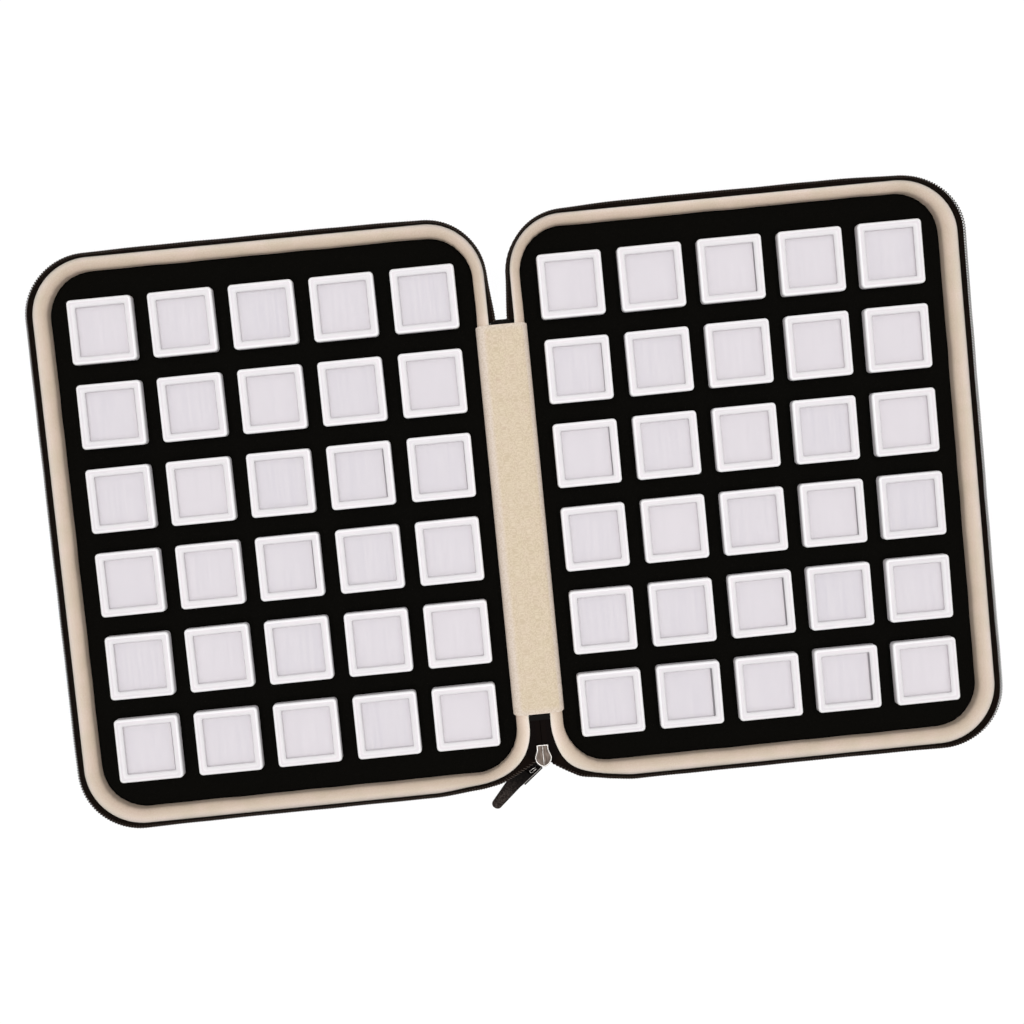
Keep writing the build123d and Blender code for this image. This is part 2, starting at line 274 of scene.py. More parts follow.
def make_piece(name, parts, material, side="right", edges=None, shades=None):
    """One mesh object from patches, mirrored for the left side.

    edges is the angle in degrees over which an edge stays sharp. shades holds one number for each patch, kept
    as the attribute shade.
    """
    if side == "left":
        parts = [mirrored(part) for part in parts]
    counts = [len(part["points"]) for part in parts]
    starts = np.concatenate([[0], np.cumsum(counts)[:-1]]).astype(int)
    corner_lists, sizes, maps = [], [], []
    for start, part in zip(starts, parts):
        corner_lists.append((part["quads"] + start).ravel())
        sizes.append(np.full(len(part["quads"]), 4))
        maps.append(part["maps"])
        for end in part["ends"]:
            corner_lists.append(end + start)
            sizes.append(np.array([len(end)]))
            maps.append(np.zeros((len(end), 2)))
    corner_index = np.concatenate(corner_lists)
    sizes = np.concatenate(sizes)
    points = np.concatenate([part["points"] for part in parts])
    mesh = bpy.data.meshes.new(name)
    mesh.vertices.add(sum(counts))
    mesh.vertices.foreach_set("co", points.astype(np.float32).ravel())
    mesh.loops.add(len(corner_index))
    mesh.loops.foreach_set("vertex_index", corner_index.astype(np.int32))
    mesh.polygons.add(len(sizes))
    mesh.polygons.foreach_set("loop_start", np.concatenate([[0], np.cumsum(sizes)[:-1]]).astype(np.int32))
    mesh.polygons.foreach_set("use_smooth", np.full(len(sizes), True))
    mesh.update(calc_edges=True)
    layer = mesh.uv_layers.new(name="run")
    layer.data.foreach_set("uv", np.concatenate(maps).astype(np.float32).ravel())
    if shades is not None:
        shade = mesh.attributes.new("shade", "FLOAT", "POINT")
        shade.data.foreach_set("value", np.repeat(np.asarray(shades, np.float32), counts))
    tone = mesh.attributes.new("tone", "FLOAT", "POINT")
    tone.data.foreach_set("value", np.concatenate([part["tone"] for part in parts]).astype(np.float32))
    mesh.validate()
    obj = bpy.data.objects.new(name, mesh)
    bpy.context.scene.collection.objects.link(obj)
    mesh.materials.append(material)
    if edges is not None:
        keep_edges(obj, edges)
    return obj


def join_points(obj, distance=0.002 * MM):
    """Merge points that lie on each other, along seams and at poles."""
    work = bmesh.new()
    work.from_mesh(obj.data)
    bmesh.ops.remove_doubles(work, verts=work.verts, dist=distance)
    bmesh.ops.dissolve_degenerate(work, edges=work.edges, dist=distance / 4)
    work.to_mesh(obj.data)
    work.free()


def keep_edges(obj, degrees):
    """Shade smooth, except over edges that turn by more than the angle."""
    obj.data.set_sharp_from_angle(angle=math.radians(degrees))


def settle(obj, body, slot, *nodes):
    """Ride a piece on its body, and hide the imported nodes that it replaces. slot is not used."""
    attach(obj, body)
    if nodes:
        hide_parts(*nodes)


def bend_at_fold(obj, side, level, slot, *nodes, out=0.0):
    """Bake a piece's placement into its mesh, and hide the nodes that it replaces. slot is not used."""
    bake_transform(obj)
    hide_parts(*nodes)


# Materials


def srgb(code):
    """Linear colour with alpha from an sRGB hex code."""
    parts = np.array([int(code[k:k + 2], 16) for k in (1, 3, 5)]) / 255
    linear = np.where(parts <= 0.04045, parts / 12.92, ((parts + 0.055) / 1.055) ** 2.4)
    return (*linear.tolist(), 1.0)


def set_inputs(node, inputs):
    """Set a node's sockets: to numbers, to hex colours, or to the outputs that feed them."""
    for key, value in inputs.items():
        if isinstance(value, bpy.types.NodeSocket):
            node.id_data.links.new(value, node.inputs[key])
        else:
            node.inputs[key].default_value = srgb(value) if isinstance(value, str) else value


def add(tree, kind, inputs=None, out=0, **settings):
    """Add one node with its settings and inputs, and give one of its outputs."""
    node = tree.nodes.new("ShaderNode" + kind)
    for key, value in settings.items():
        setattr(node, key, value)
    set_inputs(node, inputs or {})
    return node.outputs[out]


def new_material(name):
    """Empty material and its node tree."""
    material = bpy.data.materials.new(name)
    material.use_nodes = True
    return material, material.node_tree


def with_shader(material, inputs):
    """The material, with its shader's inputs set."""
    set_inputs(material.node_tree.nodes["Principled BSDF"], inputs)
    return material


def between(tree, value, low, high, first, second):
    """Colour that goes from the first to the second as a value goes from low to high."""
    share = add(tree, "MapRange", {"Value": value, "From Min": low, "From Max": high})
    return add(tree, "Mix", {0: share, 6: first, 7: second}, 2, data_type="RGBA")


def coated_polyester():
    """Woven polyester with a thin coating, laminated on the moulded shell: matt black, fine plain weave.

    Its height is the sum of one thread wave along each axis.
    """
    material, tree = new_material("coated_polyester_black")
    thread = 0.55 * MM
    where = add(tree, "TexCoord", out="Object")
    axes = add(tree, "SeparateXYZ", {0: where}).node
    weave = 0.0
    for axis in ("X", "Y", "Z"):
        turn = add(tree, "Math", {0: axes.outputs[axis], 1: math.pi / thread}, operation="MULTIPLY")
        wave = add(tree, "Math", {0: add(tree, "Math", {0: turn}, operation="SINE")}, operation="ABSOLUTE")
        weave = add(tree, "Math", {0: weave, 1: wave}, operation="ADD")
    cloud = add(tree, "TexNoise", {"Vector": where, "Scale": 1 / (18 * MM), "Detail": 4.0})
    return with_shader(material, {
        "Base Color": add(tree, "Mix", {0: cloud, 6: "#12100F", 7: "#1C1917"}, 2, data_type="RGBA"),
        "Roughness": 0.8,
        "Specular IOR Level": 0.06,
        "Normal": add(tree, "Bump", {"Height": weave, "Distance": 0.03 * MM}),
    })


def brushed_lining():
    """Warp-knit lining with a short brushed pile, laminated over the padded rim: soft, matt, beige.

    The colour is painted paler on the outer edge and darker towards the foam, by the attribute tone: painted
    highlight and painted shade.
    """
    material, tree = new_material("brushed_knit_beige")
    where = add(tree, "TexCoord", out="Object")
    pile = add(tree, "TexNoise", {"Vector": where, "Scale": 1 / (0.5 * MM), "Detail": 3.0})
    cloud = add(tree, "TexNoise", {"Vector": where, "Scale": 1 / (11 * MM), "Detail": 3.0})
    # Colour by tone, from the rim's outer edge to the foam: painted highlight on the outer edge, painted shade
    # towards the foam.
    stops = (
        (0.0, "#FFFCF5"), (0.2, "#FBF0E8"), (0.42, "#F1E4D6"),
        (0.6, "#E4D5C8"), (0.78, "#DECFC0"), (1.0, "#E2D3C4"),
    )
    colour = add(tree, "ValToRGB", {"Fac": add(tree, "Attribute", out="Fac", attribute_name="tone")})
    elements = colour.node.color_ramp.elements
    while len(elements) < len(stops):
        elements.new(1.0)
    for element, (position, code) in zip(elements, stops):
        element.position = position
        element.color = srgb(code)
    cast = between(tree, cloud, 0.35, 0.65, "#F7F5EE", "#FFFAF8")
    speck = between(tree, pile, 0.3, 0.7, "#F0E8E0", "#FFFFFF")
    layered = {"data_type": "RGBA", "blend_type": "MULTIPLY"}
    for share, layer in ((1.0, cast), (0.8, speck)):
        colour = add(tree, "Mix", {0: share, 6: colour, 7: layer}, 2, **layered)
    return with_shader(material, {
        "Base Color": colour,
        "Roughness": 0.9,
        "Specular IOR Level": 0.2,
        "Normal": add(tree, "Bump", {"Height": pile, "Distance": 0.06 * MM}),
    })


def eva_foam():
    """Closed-cell EVA foam, cut and flocked black: it swallows nearly all light, with a fine open grain."""
    material, tree = new_material("eva_foam_black")
    where = add(tree, "TexCoord", out="Object")
    cells = add(tree, "TexVoronoi", {"Vector": where, "Scale": 1 / (0.6 * MM)})
    grain = add(tree, "TexNoise", {"Vector": where, "Scale": 1 / (0.9 * MM), "Detail": 3.0})
    return with_shader(material, {
        "Base Color": add(tree, "Mix", {0: grain, 6: "#090806", 7: "#0F0E0C"}, 2, data_type="RGBA"),
        "Roughness": 1.0,
        "Specular IOR Level": 0.03,
        "Normal": add(tree, "Bump", {"Height": cells, "Distance": 0.1 * MM}),
    })


def woven_tape():
    """Polyester zipper tape: a tight herringbone weave of black thread with a faint brown cast.

    tone is 1 where the tape lies flat, which is painted darker and more even than where it stands: painted
    shade.
    """
    material, tree = new_material("zipper_tape_polyester")
    rib = 0.7 * MM
    herringbone = 1.6 * MM
    where = add(tree, "UVMap", uv_map="run")
    axes = add(tree, "SeparateXYZ", {0: where}).node
    bent = add(tree, "Math", {0: axes.outputs["Y"], 1: herringbone}, operation="PINGPONG")
    slant = add(tree, "Math", {0: axes.outputs["X"], 1: bent}, operation="ADD")
    turn = add(tree, "Math", {0: slant, 1: 2 * math.pi / rib}, operation="MULTIPLY")
    twill = add(tree, "Math", {0: turn}, operation="SINE")
    height = add(tree, "MapRange", {"Value": twill, "From Min": -1.0, "From Max": 1.0})
    cloud = add(tree, "TexNoise", {"Vector": where, "Scale": 1 / (6 * MM), "Detail": 3.0})
    thread = add(tree, "Mix", {0: cloud, 6: "#1A120E", 7: "#261B15"}, 2, data_type="RGBA")
    # Darker where the twill's height is low, in its grooves: painted shade.
    standing = add(tree, "Mix", {0: height, 6: "#0F0B09", 7: thread}, 2, data_type="RGBA")
    # Where the tape lies flat it is painted darker than where it stands: painted shade.
    lying = add(tree, "Mix", {0: height, 6: "#0F0B0A", 7: "#15100F"}, 2, data_type="RGBA")
    tone = add(tree, "Attribute", out="Fac", attribute_name="tone")
    return with_shader(material, {
        "Base Color": add(tree, "Mix", {0: tone, 6: standing, 7: lying}, 2, data_type="RGBA"),
        "Roughness": 0.9,
        "Specular IOR Level": 0.03,
        "Normal": add(tree, "Bump", {"Height": height, "Distance": 0.05 * MM}),
    })


def nylon_coil():
    """Nylon monofilament, wound and heat-set: smooth, black-brown, with a soft gleam on each turn."""
    material, tree = new_material("nylon_monofilament_black")
    where = add(tree, "TexCoord", out="Object")
    cloud = add(tree, "TexNoise", {"Vector": where, "Scale": 1 / (3 * MM), "Detail": 2.0})
    return with_shader(material, {
        "Base Color": add(tree, "Mix", {0: cloud, 6: "#2B2019", 7: "#41342B"}, 2, data_type="RGBA"),
        "Roughness": 0.42,
        "IOR": 1.53,
        "Specular IOR Level": 0.3,
    })


def leatherette():
    """Polyurethane leatherette on a cloth backing, embossed with a fine pebble: cream, low gloss.

    tone is 1 on the cut ends and where the band turns down past each rim's crest, which are painted paler:
    painted highlight.
    """
    material, tree = new_material("pu_leatherette_cream")
    pebble = {"Scale": 1 / (0.62 * MM), "Smoothness": 0.6}
    where = add(tree, "UVMap", uv_map="run")
    cells = add(tree, "TexVoronoi", {"Vector": where, **pebble}, feature="SMOOTH_F1")
    height = add(tree, "MapRange", {"Value": cells, "From Min": 0.75, "From Max": 0.1})
    cloud = add(tree, "TexNoise", {"Vector": where, "Scale": 1 / (9 * MM), "Detail": 3.0})
    blotch = add(tree, "TexNoise", {"Vector": where, "Scale": 1 / (3.5 * MM), "Detail": 2.0})
    cast = between(tree, cloud, 0.3, 0.7, "#E9D9BF", "#EBD9C3")
    cast = between(tree, blotch, 0.62, 0.8, cast, "#E9D2C0")
    tone = add(tree, "Attribute", out="Fac", attribute_name="tone")
    # Paler where tone is 1, on the cut ends and the turned-down edges: painted highlight.
    cast = add(tree, "Mix", {0: tone, 6: cast, 7: "#F0E1D4"}, 2, data_type="RGBA")
    # The pebble's valleys are painted darker than its tops: painted shade.
    dark = add(tree, "Mix", {0: 1.0, 6: cast, 7: "#E9E5DE"}, 2, data_type="RGBA", blend_type="MULTIPLY")
    return with_shader(material, {
        "Base Color": add(tree, "Mix", {0: height, 6: dark, 7: cast}, 2, data_type="RGBA"),
        "Roughness": 0.6,
        "Specular IOR Level": 0.3,
        "Normal": add(tree, "Bump", {"Height": height, "Distance": 0.07 * MM}),
    })


def white_polystyrene():
    """Injection-moulded polystyrene, white with a faint cool cast, painted paler on the lids' edges: painted
    highlight.

    tone is 1 on the rounded outer edge and the window's wall, about a half on the slope to the window, and 0
    on the flat frame: painted highlight and painted light.
    """
    material, tree = new_material("polystyrene_white")
    where = add(tree, "TexCoord", out="Object")
    cloud = add(tree, "TexNoise", {"Vector": where, "Scale": 1 / (9 * MM), "Detail": 2.0})
    shade = add(tree, "Attribute", out="Fac", attribute_name="shade")
    flat = add(tree, "Mix", {0: shade, 6: "#E7E1E4", 7: "#E5E0E5"}, 2, data_type="RGBA")
    flat = between(tree, cloud, 0.35, 0.65, flat, "#EDE5E9")
    # Paler where tone is high: painted highlight on the edges, painted light on the window's wall and slope.
    tone = add(tree, "Attribute", out="Fac", attribute_name="tone")
    return with_shader(material, {
        "Base Color": add(tree, "Mix", {0: tone, 6: flat, 7: "#FFFDFE"}, 2, data_type="RGBA"),
        "Roughness": 0.3,
        "IOR": 1.59,
        "Specular IOR Level": 0.35,
    })


def clear_acrylic():
    """Extruded acrylic sheet, 1 mm: clear, it lets the pad show with a thin veil and a soft gleam."""
    material, tree = new_material("acrylic_sheet_clear")
    shade = add(tree, "Attribute", out="Fac", attribute_name="shade")
    return with_shader(material, {
        "Base Color": add(tree, "Mix", {0: shade, 6: "#E9E4EA", 7: "#E4E1E6"}, 2, data_type="RGBA"),
        "Roughness": 0.12,
        "IOR": 1.49,
        "Alpha": 0.15,
    })


def pad_foam():
    """White polyethylene foam pad, sliced from a block: matt, with faint saw lines along Y."""
    material, tree = new_material("pe_foam_pad_white")
    where = add(tree, "TexCoord", out="Object")
    drawn = add(tree, "Mapping", {"Vector": where, "Scale": (1.0, 0.05, 1.0)})
    lines = add(tree, "TexNoise", {"Vector": drawn, "Scale": 1 / (1.3 * MM), "Detail": 3.0})
    grain = add(tree, "TexNoise", {"Vector": where, "Scale": 1 / (0.5 * MM), "Detail": 2.0})
    shade = add(tree, "Attribute", out="Fac", attribute_name="shade")
    cast = add(tree, "Mix", {0: shade, 6: "#EDE8EB", 7: "#E6E1E8"}, 2, data_type="RGBA")
    cast = between(tree, lines, 0.3, 0.7, cast, "#F2EDF0")
    # Paler at the pad's edges, where tone is 1: painted light over the shade under the lid.
    tone = add(tree, "Attribute", out="Fac", attribute_name="tone")
    return with_shader(material, {
        "Base Color": add(tree, "Mix", {0: tone, 6: cast, 7: "#EFE8EB"}, 2, data_type="RGBA"),
        "Roughness": 0.85,
        "Specular IOR Level": 0.2,
        "Normal": add(tree, "Bump", {"Height": grain, "Distance": 0.05 * MM}),
    })


def plated_zinc(name, low, high):
    """Die-cast zinc, nickel-plated and tumbled: metal with fine rubbing marks along Y."""
    material, tree = new_material(name)
    where = add(tree, "TexCoord", out="Object")
    drawn = add(tree, "Mapping", {"Vector": where, "Scale": (1.0, 0.12, 1.0)})
    marks = add(tree, "TexNoise", {"Vector": drawn, "Scale": 1 / (0.4 * MM), "Detail": 3.0})
    return with_shader(material, {
        "Base Color": between(tree, marks, 0.35, 0.65, low, high),
        "Metallic": 1.0,
        "Roughness": 0.38,
        "Normal": add(tree, "Bump", {"Height": marks, "Distance": 0.02 * MM}),
    })


def blackened_steel():
    """Pressed steel with a black finish, rubbed bright in places."""
    material, tree = new_material("blackened_steel")
    where = add(tree, "TexCoord", out="Object")
    marks = add(tree, "TexNoise", {"Vector": where, "Scale": 1 / (1.2 * MM), "Detail": 4.0})
    return with_shader(material, {
        "Base Color": between(tree, marks, 0.5, 0.8, "#120F0E", "#221D1B"),
        "Metallic": 1.0,
        "Roughness": 0.5,
    })


def moulded_pvc():
    """Soft PVC, moulded with a fine hatch for grip: dark brown-black, low sheen, greyer towards its end, and
    painted darker in the hatch's grooves: painted shade.
    """
    material, tree = new_material("soft_pvc_black")
    where = add(tree, "TexCoord", out="Object")
    grain = add(tree, "TexNoise", {"Vector": where, "Scale": 1 / (0.9 * MM), "Detail": 3.0})
    tone = add(tree, "Attribute", out="Fac", attribute_name="tone")
    dark = add(tree, "Mix", {0: tone, 6: "#0B0908", 7: "#2B2421"}, 2, data_type="RGBA")
    greyer_end = add(tree, "Mix", {0: tone, 6: "#120E0C", 7: "#5A514C"}, 2, data_type="RGBA")
    return with_shader(material, {
        "Base Color": between(tree, grain, 0.4, 0.65, dark, greyer_end),
        "Roughness": 0.7,
        "Specular IOR Level": 0.06,
    })


def pale_floor():
    """Opal acrylic of a light table: lit evenly from below, so that it looks plain white without a shadow."""
    return with_shader(new_material("opal_light_table")[0], {
        "Base Color": "#404040",
        "Roughness": 1.0,
        "Specular IOR Level": 0.0,
        "Emission Color": "#FFFFFF",
        "Emission Strength": 0.98,
    })


# Run round the rim

STRAIGHT_X = 2 * (RIM_HALF[0] - RIM_RADIUS)
STRAIGHT_Y = 2 * (RIM_HALF[1] - RIM_RADIUS)
QUARTER = math.pi * RIM_RADIUS / 2
STRETCHES = np.array([
    STRAIGHT_Y / 2, QUARTER, STRAIGHT_X, QUARTER, STRAIGHT_Y, QUARTER, STRAIGHT_X, QUARTER, STRAIGHT_Y / 2,
])
TURNING = np.array([0, 1, 0, 1, 0, 1, 0, 1, 0])
BEGINS = np.concatenate([[0.0], np.cumsum(STRETCHES)])
RUN_LENGTH = BEGINS[-1]


def rim_run(distance):
    """Points and outward directions round the right rim, clockwise from the middle of its spine side.

    The outline is nine stretches, straight and quarter circle by turns. A straight point is the stretch's
    start plus the distance along its heading. A turning one is the centre plus the radius times the outward
    direction, which turns with the heading by distance over radius.
    """
    angles = math.pi / 2 - np.concatenate([[0.0], np.cumsum(TURNING * math.pi / 2)])[:-1]
    heading = np.stack([np.cos(angles), np.sin(angles)], axis=-1)
    right = np.stack([np.sin(angles), -np.cos(angles)], axis=-1)
    moves = np.where(TURNING[:, None] == 1, RIM_RADIUS * (heading + right), STRETCHES[:, None] * heading)
    first = np.array([RIM[0][0], RIM_MIDDLE[1]])
    starts = first + np.vstack([[0.0, 0.0], np.cumsum(moves, axis=0)[:-1]])
    stretch = np.clip(np.searchsorted(BEGINS, distance, side="right") - 1, 0, len(STRETCHES) - 1)
    along = distance - BEGINS[stretch]
    turned = angles[stretch] - TURNING[stretch] * along / RIM_RADIUS
    outward = np.stack([-np.sin(turned), np.cos(turned)], axis=-1)
    on_arc = starts[stretch] + RIM_RADIUS * (right[stretch] + outward)
    on_line = starts[stretch] + along[:, None] * heading[stretch]
    return np.where(TURNING[stretch][:, None] == 1, on_arc, on_line), outward


def stations(begin, end, step):
    """Evenly spaced distances along the run, both ends included."""
    return np.linspace(begin, end, max(2, int(round((end - begin) / step)) + 1))


def by_facing(outward, side, front, back):
    """A value for each outward direction: side towards +X, front towards -Y, back towards +Y, 0 at the spine.

    Between them it goes by the squares of the direction's two parts.
    """
    lengthways = np.where(outward[:, 1] < 0, front, back) * outward[:, 1] ** 2
    return side * np.maximum(outward[:, 0], 0.0) ** 2 + lengthways


def padding_swell(distance, outward, side):
    """How far the padded rim swells past its outline: by direction, less at the notch and the zip's end."""
    notch = COVER[1][1] - SWELL_NOTCH_BEFORE - RIM_MIDDLE[1]
    inward_face = np.maximum(-outward[:, 0], 0.0) ** 2 * (distance < BEGINS[2])
    by_notch = inward_face * smooth((distance - notch) / SWELL_NOTCH_LENGTH)
    swell = by_facing(outward, *SWELL[side]) + SWELL_NOTCH[side] * by_notch
    for amount, middle, reach in PRESSED[side]:
        swell = swell + amount * (1 - smooth(np.abs(distance - BEGINS[7] - middle) / reach))
    return swell


def raised(point, outward, reach, height):
    """Grid of points: each station's point of the plan, moved outward by its reaches, at their heights."""
    flat = point[:, None, :] + outward[:, None, :] * reach[..., None]
    return np.concatenate([flat, np.broadcast_to(height, reach.shape)[..., None]], axis=-1)


def arc(centre, radius, begin, end, steps):
    """Points on a circle in a plane between two angles in degrees."""
    angle = np.radians(np.linspace(begin, end, steps + 1))
    return np.stack([centre[0] + radius * np.cos(angle), centre[1] + radius * np.sin(angle)], axis=-1)


# Halves of the case


def make_shell(side, material):
    """Moulded shell: the outline carried down a profile with a round lower edge, and up again inside."""
    top = SHELL[1][2]
    bevel = 0.3 * MM
    profile = np.concatenate([
        [(SHELL_WALL, SHELL_FLOOR), (SHELL_WALL, top - bevel), (SHELL_WALL - bevel, top)],
        [(bevel, top), (0.0, top - bevel)],
        arc((SHELL_EDGE, SHELL_EDGE), SHELL_EDGE, 180, 270, 10),
    ])
    point, outward = rim_run(stations(0, RUN_LENGTH, RUN_STEP)[:-1])
    inset = np.broadcast_to(profile[:, 0], (len(point), len(profile)))
    points = raised(point, outward, -inset, profile[:, 1]).transpose(1, 0, 2)
    obj = make_piece(f"{side}_moulded_shell", [patch(points, wrap_v=True, caps=True)], material, side, 50)
    settle(obj, f"{side}_half", "shell_fabric", f"{side}_shell")


def make_lining(side, material):
    """Padded rim: a flat crest, a rounded inner edge and the inside wall, closed underneath.

    The inner edge wavers a little, and puckers in short creases where it goes round the corners.
    """
    roll_low = RIM_TOP - 2.0 * MM
    hidden = RIM_WIDTH - 0.9 * MM
    wall_low = FOAM_TOP - 1.0 * MM
    profile = np.concatenate([
        [(hidden, wall_low), (hidden, roll_low), (0.0, roll_low)],
        arc((0.5 * MM, RIM_TOP - 0.5 * MM), 0.5 * MM, 180, 90, 4),
        [(1.9 * MM, RIM_TOP)],
        arc((RIM_CREST, RIM_TOP - RIM_CREST), RIM_WIDTH - RIM_CREST, 90, 0, 10),
        [(RIM_WIDTH, FOAM_TOP + 0.5 * MM), (RIM_WIDTH, wall_low)],
    ])
    distance = stations(0, RUN_LENGTH, RUN_STEP / 2)[:-1]
    point, outward = rim_run(distance)
    stretch = np.clip(np.searchsorted(BEGINS, distance, side="right") - 1, 0, len(STRETCHES) - 1)
    in_corner = TURNING[stretch] * np.sin(np.pi * (distance - BEGINS[stretch]) / STRETCHES[stretch])
    weight = smooth((profile[:, 0] - RIM_CREST) / (RIM_WIDTH - RIM_CREST))
    weight[:3] = 0.0
    seed = WAVER_SEEDS[side]
    waver = RIM_WAVER * waves(distance, (61 * MM, 37 * MM, 23 * MM), seed)
    creases = RIM_CREASE * in_corner * waves(distance, (5.2 * MM, 7.9 * MM, 3.7 * MM), seed + 1)
    on_crest = 1 - smooth(profile[:, 0] / (3.6 * MM))
    swell = padding_swell(distance, outward, side)[:, None] * on_crest[None, :]
    inset = profile[None, :, 0] + (waver + creases)[:, None] * weight[None, :] - swell
    points = raised(point, outward, -inset, profile[:, 1])
    # tone runs from the rim's outer edge to the foam, for the lining's painted highlight and painted shade.
    part = patch(points, wrap_u=True, wrap_v=True, tone=profile[None, :, 0] / RIM_WIDTH)
    obj = make_piece(f"{side}_padded_rim", [part], material, side, 60)
    settle(obj, f"{side}_half", "rim_fabric", f"{side}_rim_lining")


def box_spots(side):
    """Middles of the boxes of a half, by column counted from the spine and by row."""
    spots = {}
    for column in range(1, COLUMNS + 1):
        low, high = corners(f"{side}_box_lids_{column}")
        lid = high[0] - low[0]
        rows = np.linspace(low[1] + lid / 2, high[1] - lid / 2, ROWS)
        spots[column] = [np.array([(low[0] + high[0]) / 2, y]) for y in rows]
    return spots


def rounded_square(half, radius, steps=CORNER_STEPS):
    """Closed loop round a square with rounded corners: four arcs of steps + 1 points, joined by straights."""
    angle = np.linspace(0, math.pi / 2, steps + 1)
    quarter = np.stack([np.cos(angle), np.sin(angle)], axis=-1) * radius + (half - radius)
    loops = []
    for turn in range(4):
        c, s = round(math.cos(turn * math.pi / 2)), round(math.sin(turn * math.pi / 2))
        loops.append(quarter @ np.array([[c, s], [-s, c]]))
    return np.concatenate(loops)


def square_stack(rows):
    """Loops round a square, one for each row of half side, corner radius, height and tone."""
    loops = np.stack([
        np.column_stack([rounded_square(half, radius), np.full(4 * (CORNER_STEPS + 1), height)])
        for half, radius, height, _ in rows
    ])
    return loops, np.array([row[3] for row in rows])


def square_loop(across, along):
    """Points round a square from -1 to 1, with so many steps on each side along X and along Y."""
    x = np.linspace(-1, 1, across + 1)[:-1]
    y = np.linspace(-1, 1, along + 1)[:-1]
    return np.concatenate([
        np.column_stack([np.ones(along), y]), np.column_stack([-x, np.ones(across)]),
        np.column_stack([-np.ones(along), -y]), np.column_stack([x, -np.ones(across)]),
    ])


def make_foam(side, material):
    """Foam insert: a slab with a soft-edged square pocket for each box.

    Each pocket is a stack of square loops, floor to lip, that spreads to its cell's rectangle. The cells
    share their edges' points, and one more ring carries the outermost out to the slab's own outline.
    """
    base_low, base_high = corners(f"{side}_box_bases_1")
    base_half = (base_high[0] - base_low[0]) / 2
    pocket = base_half + POCKET_GAP
    floor = base_low[2] - 0.05 * MM
    lip = POCKET_LIP
    spots = box_spots(side)
    pitch_x = abs(spots[2][0][0] - spots[1][0][0])
    pitch_y = spots[1][1][1] - spots[1][0][1]
    cell = np.array([pitch_x, pitch_y]) / 2
    parts = []
    samples = 8
    rounds = square_loop(samples, samples)

    def drawn(loop, half, radius, height, middle=(0.0, 0.0)):
        """The loop spread to a half width and half length, drawn onto its corner arcs, at a height."""
        sharp = loop * half
        centre = np.clip(sharp, radius - half, half - radius)
        away = sharp - centre
        size = np.maximum(np.linalg.norm(away, axis=1, keepdims=True), 1e-9)
        spot = np.where(size > radius, centre + away * radius / size, sharp)
        return np.column_stack([spot + middle, np.full(len(loop), height)])

    angles = np.radians((0, 30, 60, 90))
    loops = [drawn(rounds, pocket, POCKET_CORNER, floor)]
    for angle in angles:
        out = lip * (1 - math.cos(angle))
        up = FOAM_TOP - lip + lip * math.sin(angle)
        loops.append(drawn(rounds, pocket + out, POCKET_CORNER + out, up))
    loops.append(drawn(rounds, cell, 0.0, FOAM_TOP))
    cup = np.stack(loops)
    for column in spots.values():
        for spot in column:
            part = patch(cup + np.array([*spot, 0.0]), wrap_v=True, caps=True)
            part["ends"] = part["ends"][:1]
            parts.append(part)
    middle = np.array([
        (spots[1][0][0] + spots[COLUMNS][0][0]) / 2,
        (spots[1][0][1] + spots[1][-1][1]) / 2,
    ])
    border = square_loop(samples * COLUMNS, samples * ROWS)
    slab_low, slab_high = corners(f"{side}_foam_insert")
    slab_middle = (slab_low + slab_high)[:2] / 2
    slab_half = (slab_high - slab_low)[:2] / 2
    radius = RIM_RADIUS - (RIM_HALF[0] - slab_half[0])
    slab = [drawn(border, cell * (COLUMNS, ROWS), 0.0, FOAM_TOP, middle)]
    for angle in angles[::-1]:
        inset = lip - lip * math.cos(angle)
        up = FOAM_TOP - lip + lip * math.sin(angle)
        slab.append(drawn(border, slab_half - inset, radius - inset, up, slab_middle))
    slab.append(drawn(border, slab_half, radius, slab_low[2], slab_middle))
    skirt = patch(np.stack(slab), wrap_v=True, caps=True)
    skirt["ends"] = skirt["ends"][1:]
    parts.append(skirt)
    obj = make_piece(f"{side}_foam_tray", parts, material)
    join_points(obj)
    keep_edges(obj, 50)
    settle(obj, f"{side}_half", "foam_black", f"{side}_foam_insert")


# Zipper


def to_line(point, outward, start, end):
    """Distance from each point along its outward direction to the line through two spots of the plan."""
    heading = np.subtract(end, start)
    gap = np.asarray(start) - point
    level = outward[:, 0] * heading[1] - outward[:, 1] * heading[0]
    level = np.where(np.abs(level) < 1e-9, 1e-9, level)
    reach = (gap[:, 0] * heading[1] - gap[:, 1] * heading[0]) / level
    return np.where(reach > 0, reach, 1.0)


def standing_reach(distance, outward, side):
    """How far the standing tape's edge leans out: little on the sides and in corners, more by the notch."""
    middles = (BEGINS[:-1] + BEGINS[1:])[TURNING == 1] / 2
    nearest = np.min(np.abs(distance[:, None] - middles[None, :]), axis=1)
    corner = 1 - smooth((nearest - QUARTER / 4) / QUARTER)
    notch = 1 - smooth((distance - STRAIGHT_Y / 2 + LEAN_NOTCH_BEFORE) / LEAN_FADE[side])
    reach = by_facing(outward, *LEAN[side]) * (1 - corner) + LEAN_CORNERS * corner
    reach = reach * (1 - notch) + LEAN_NOTCH[side] * notch
    return reach + TAPE_WAVER * waves(distance, (83 * MM, 47 * MM, 29 * MM), 5)


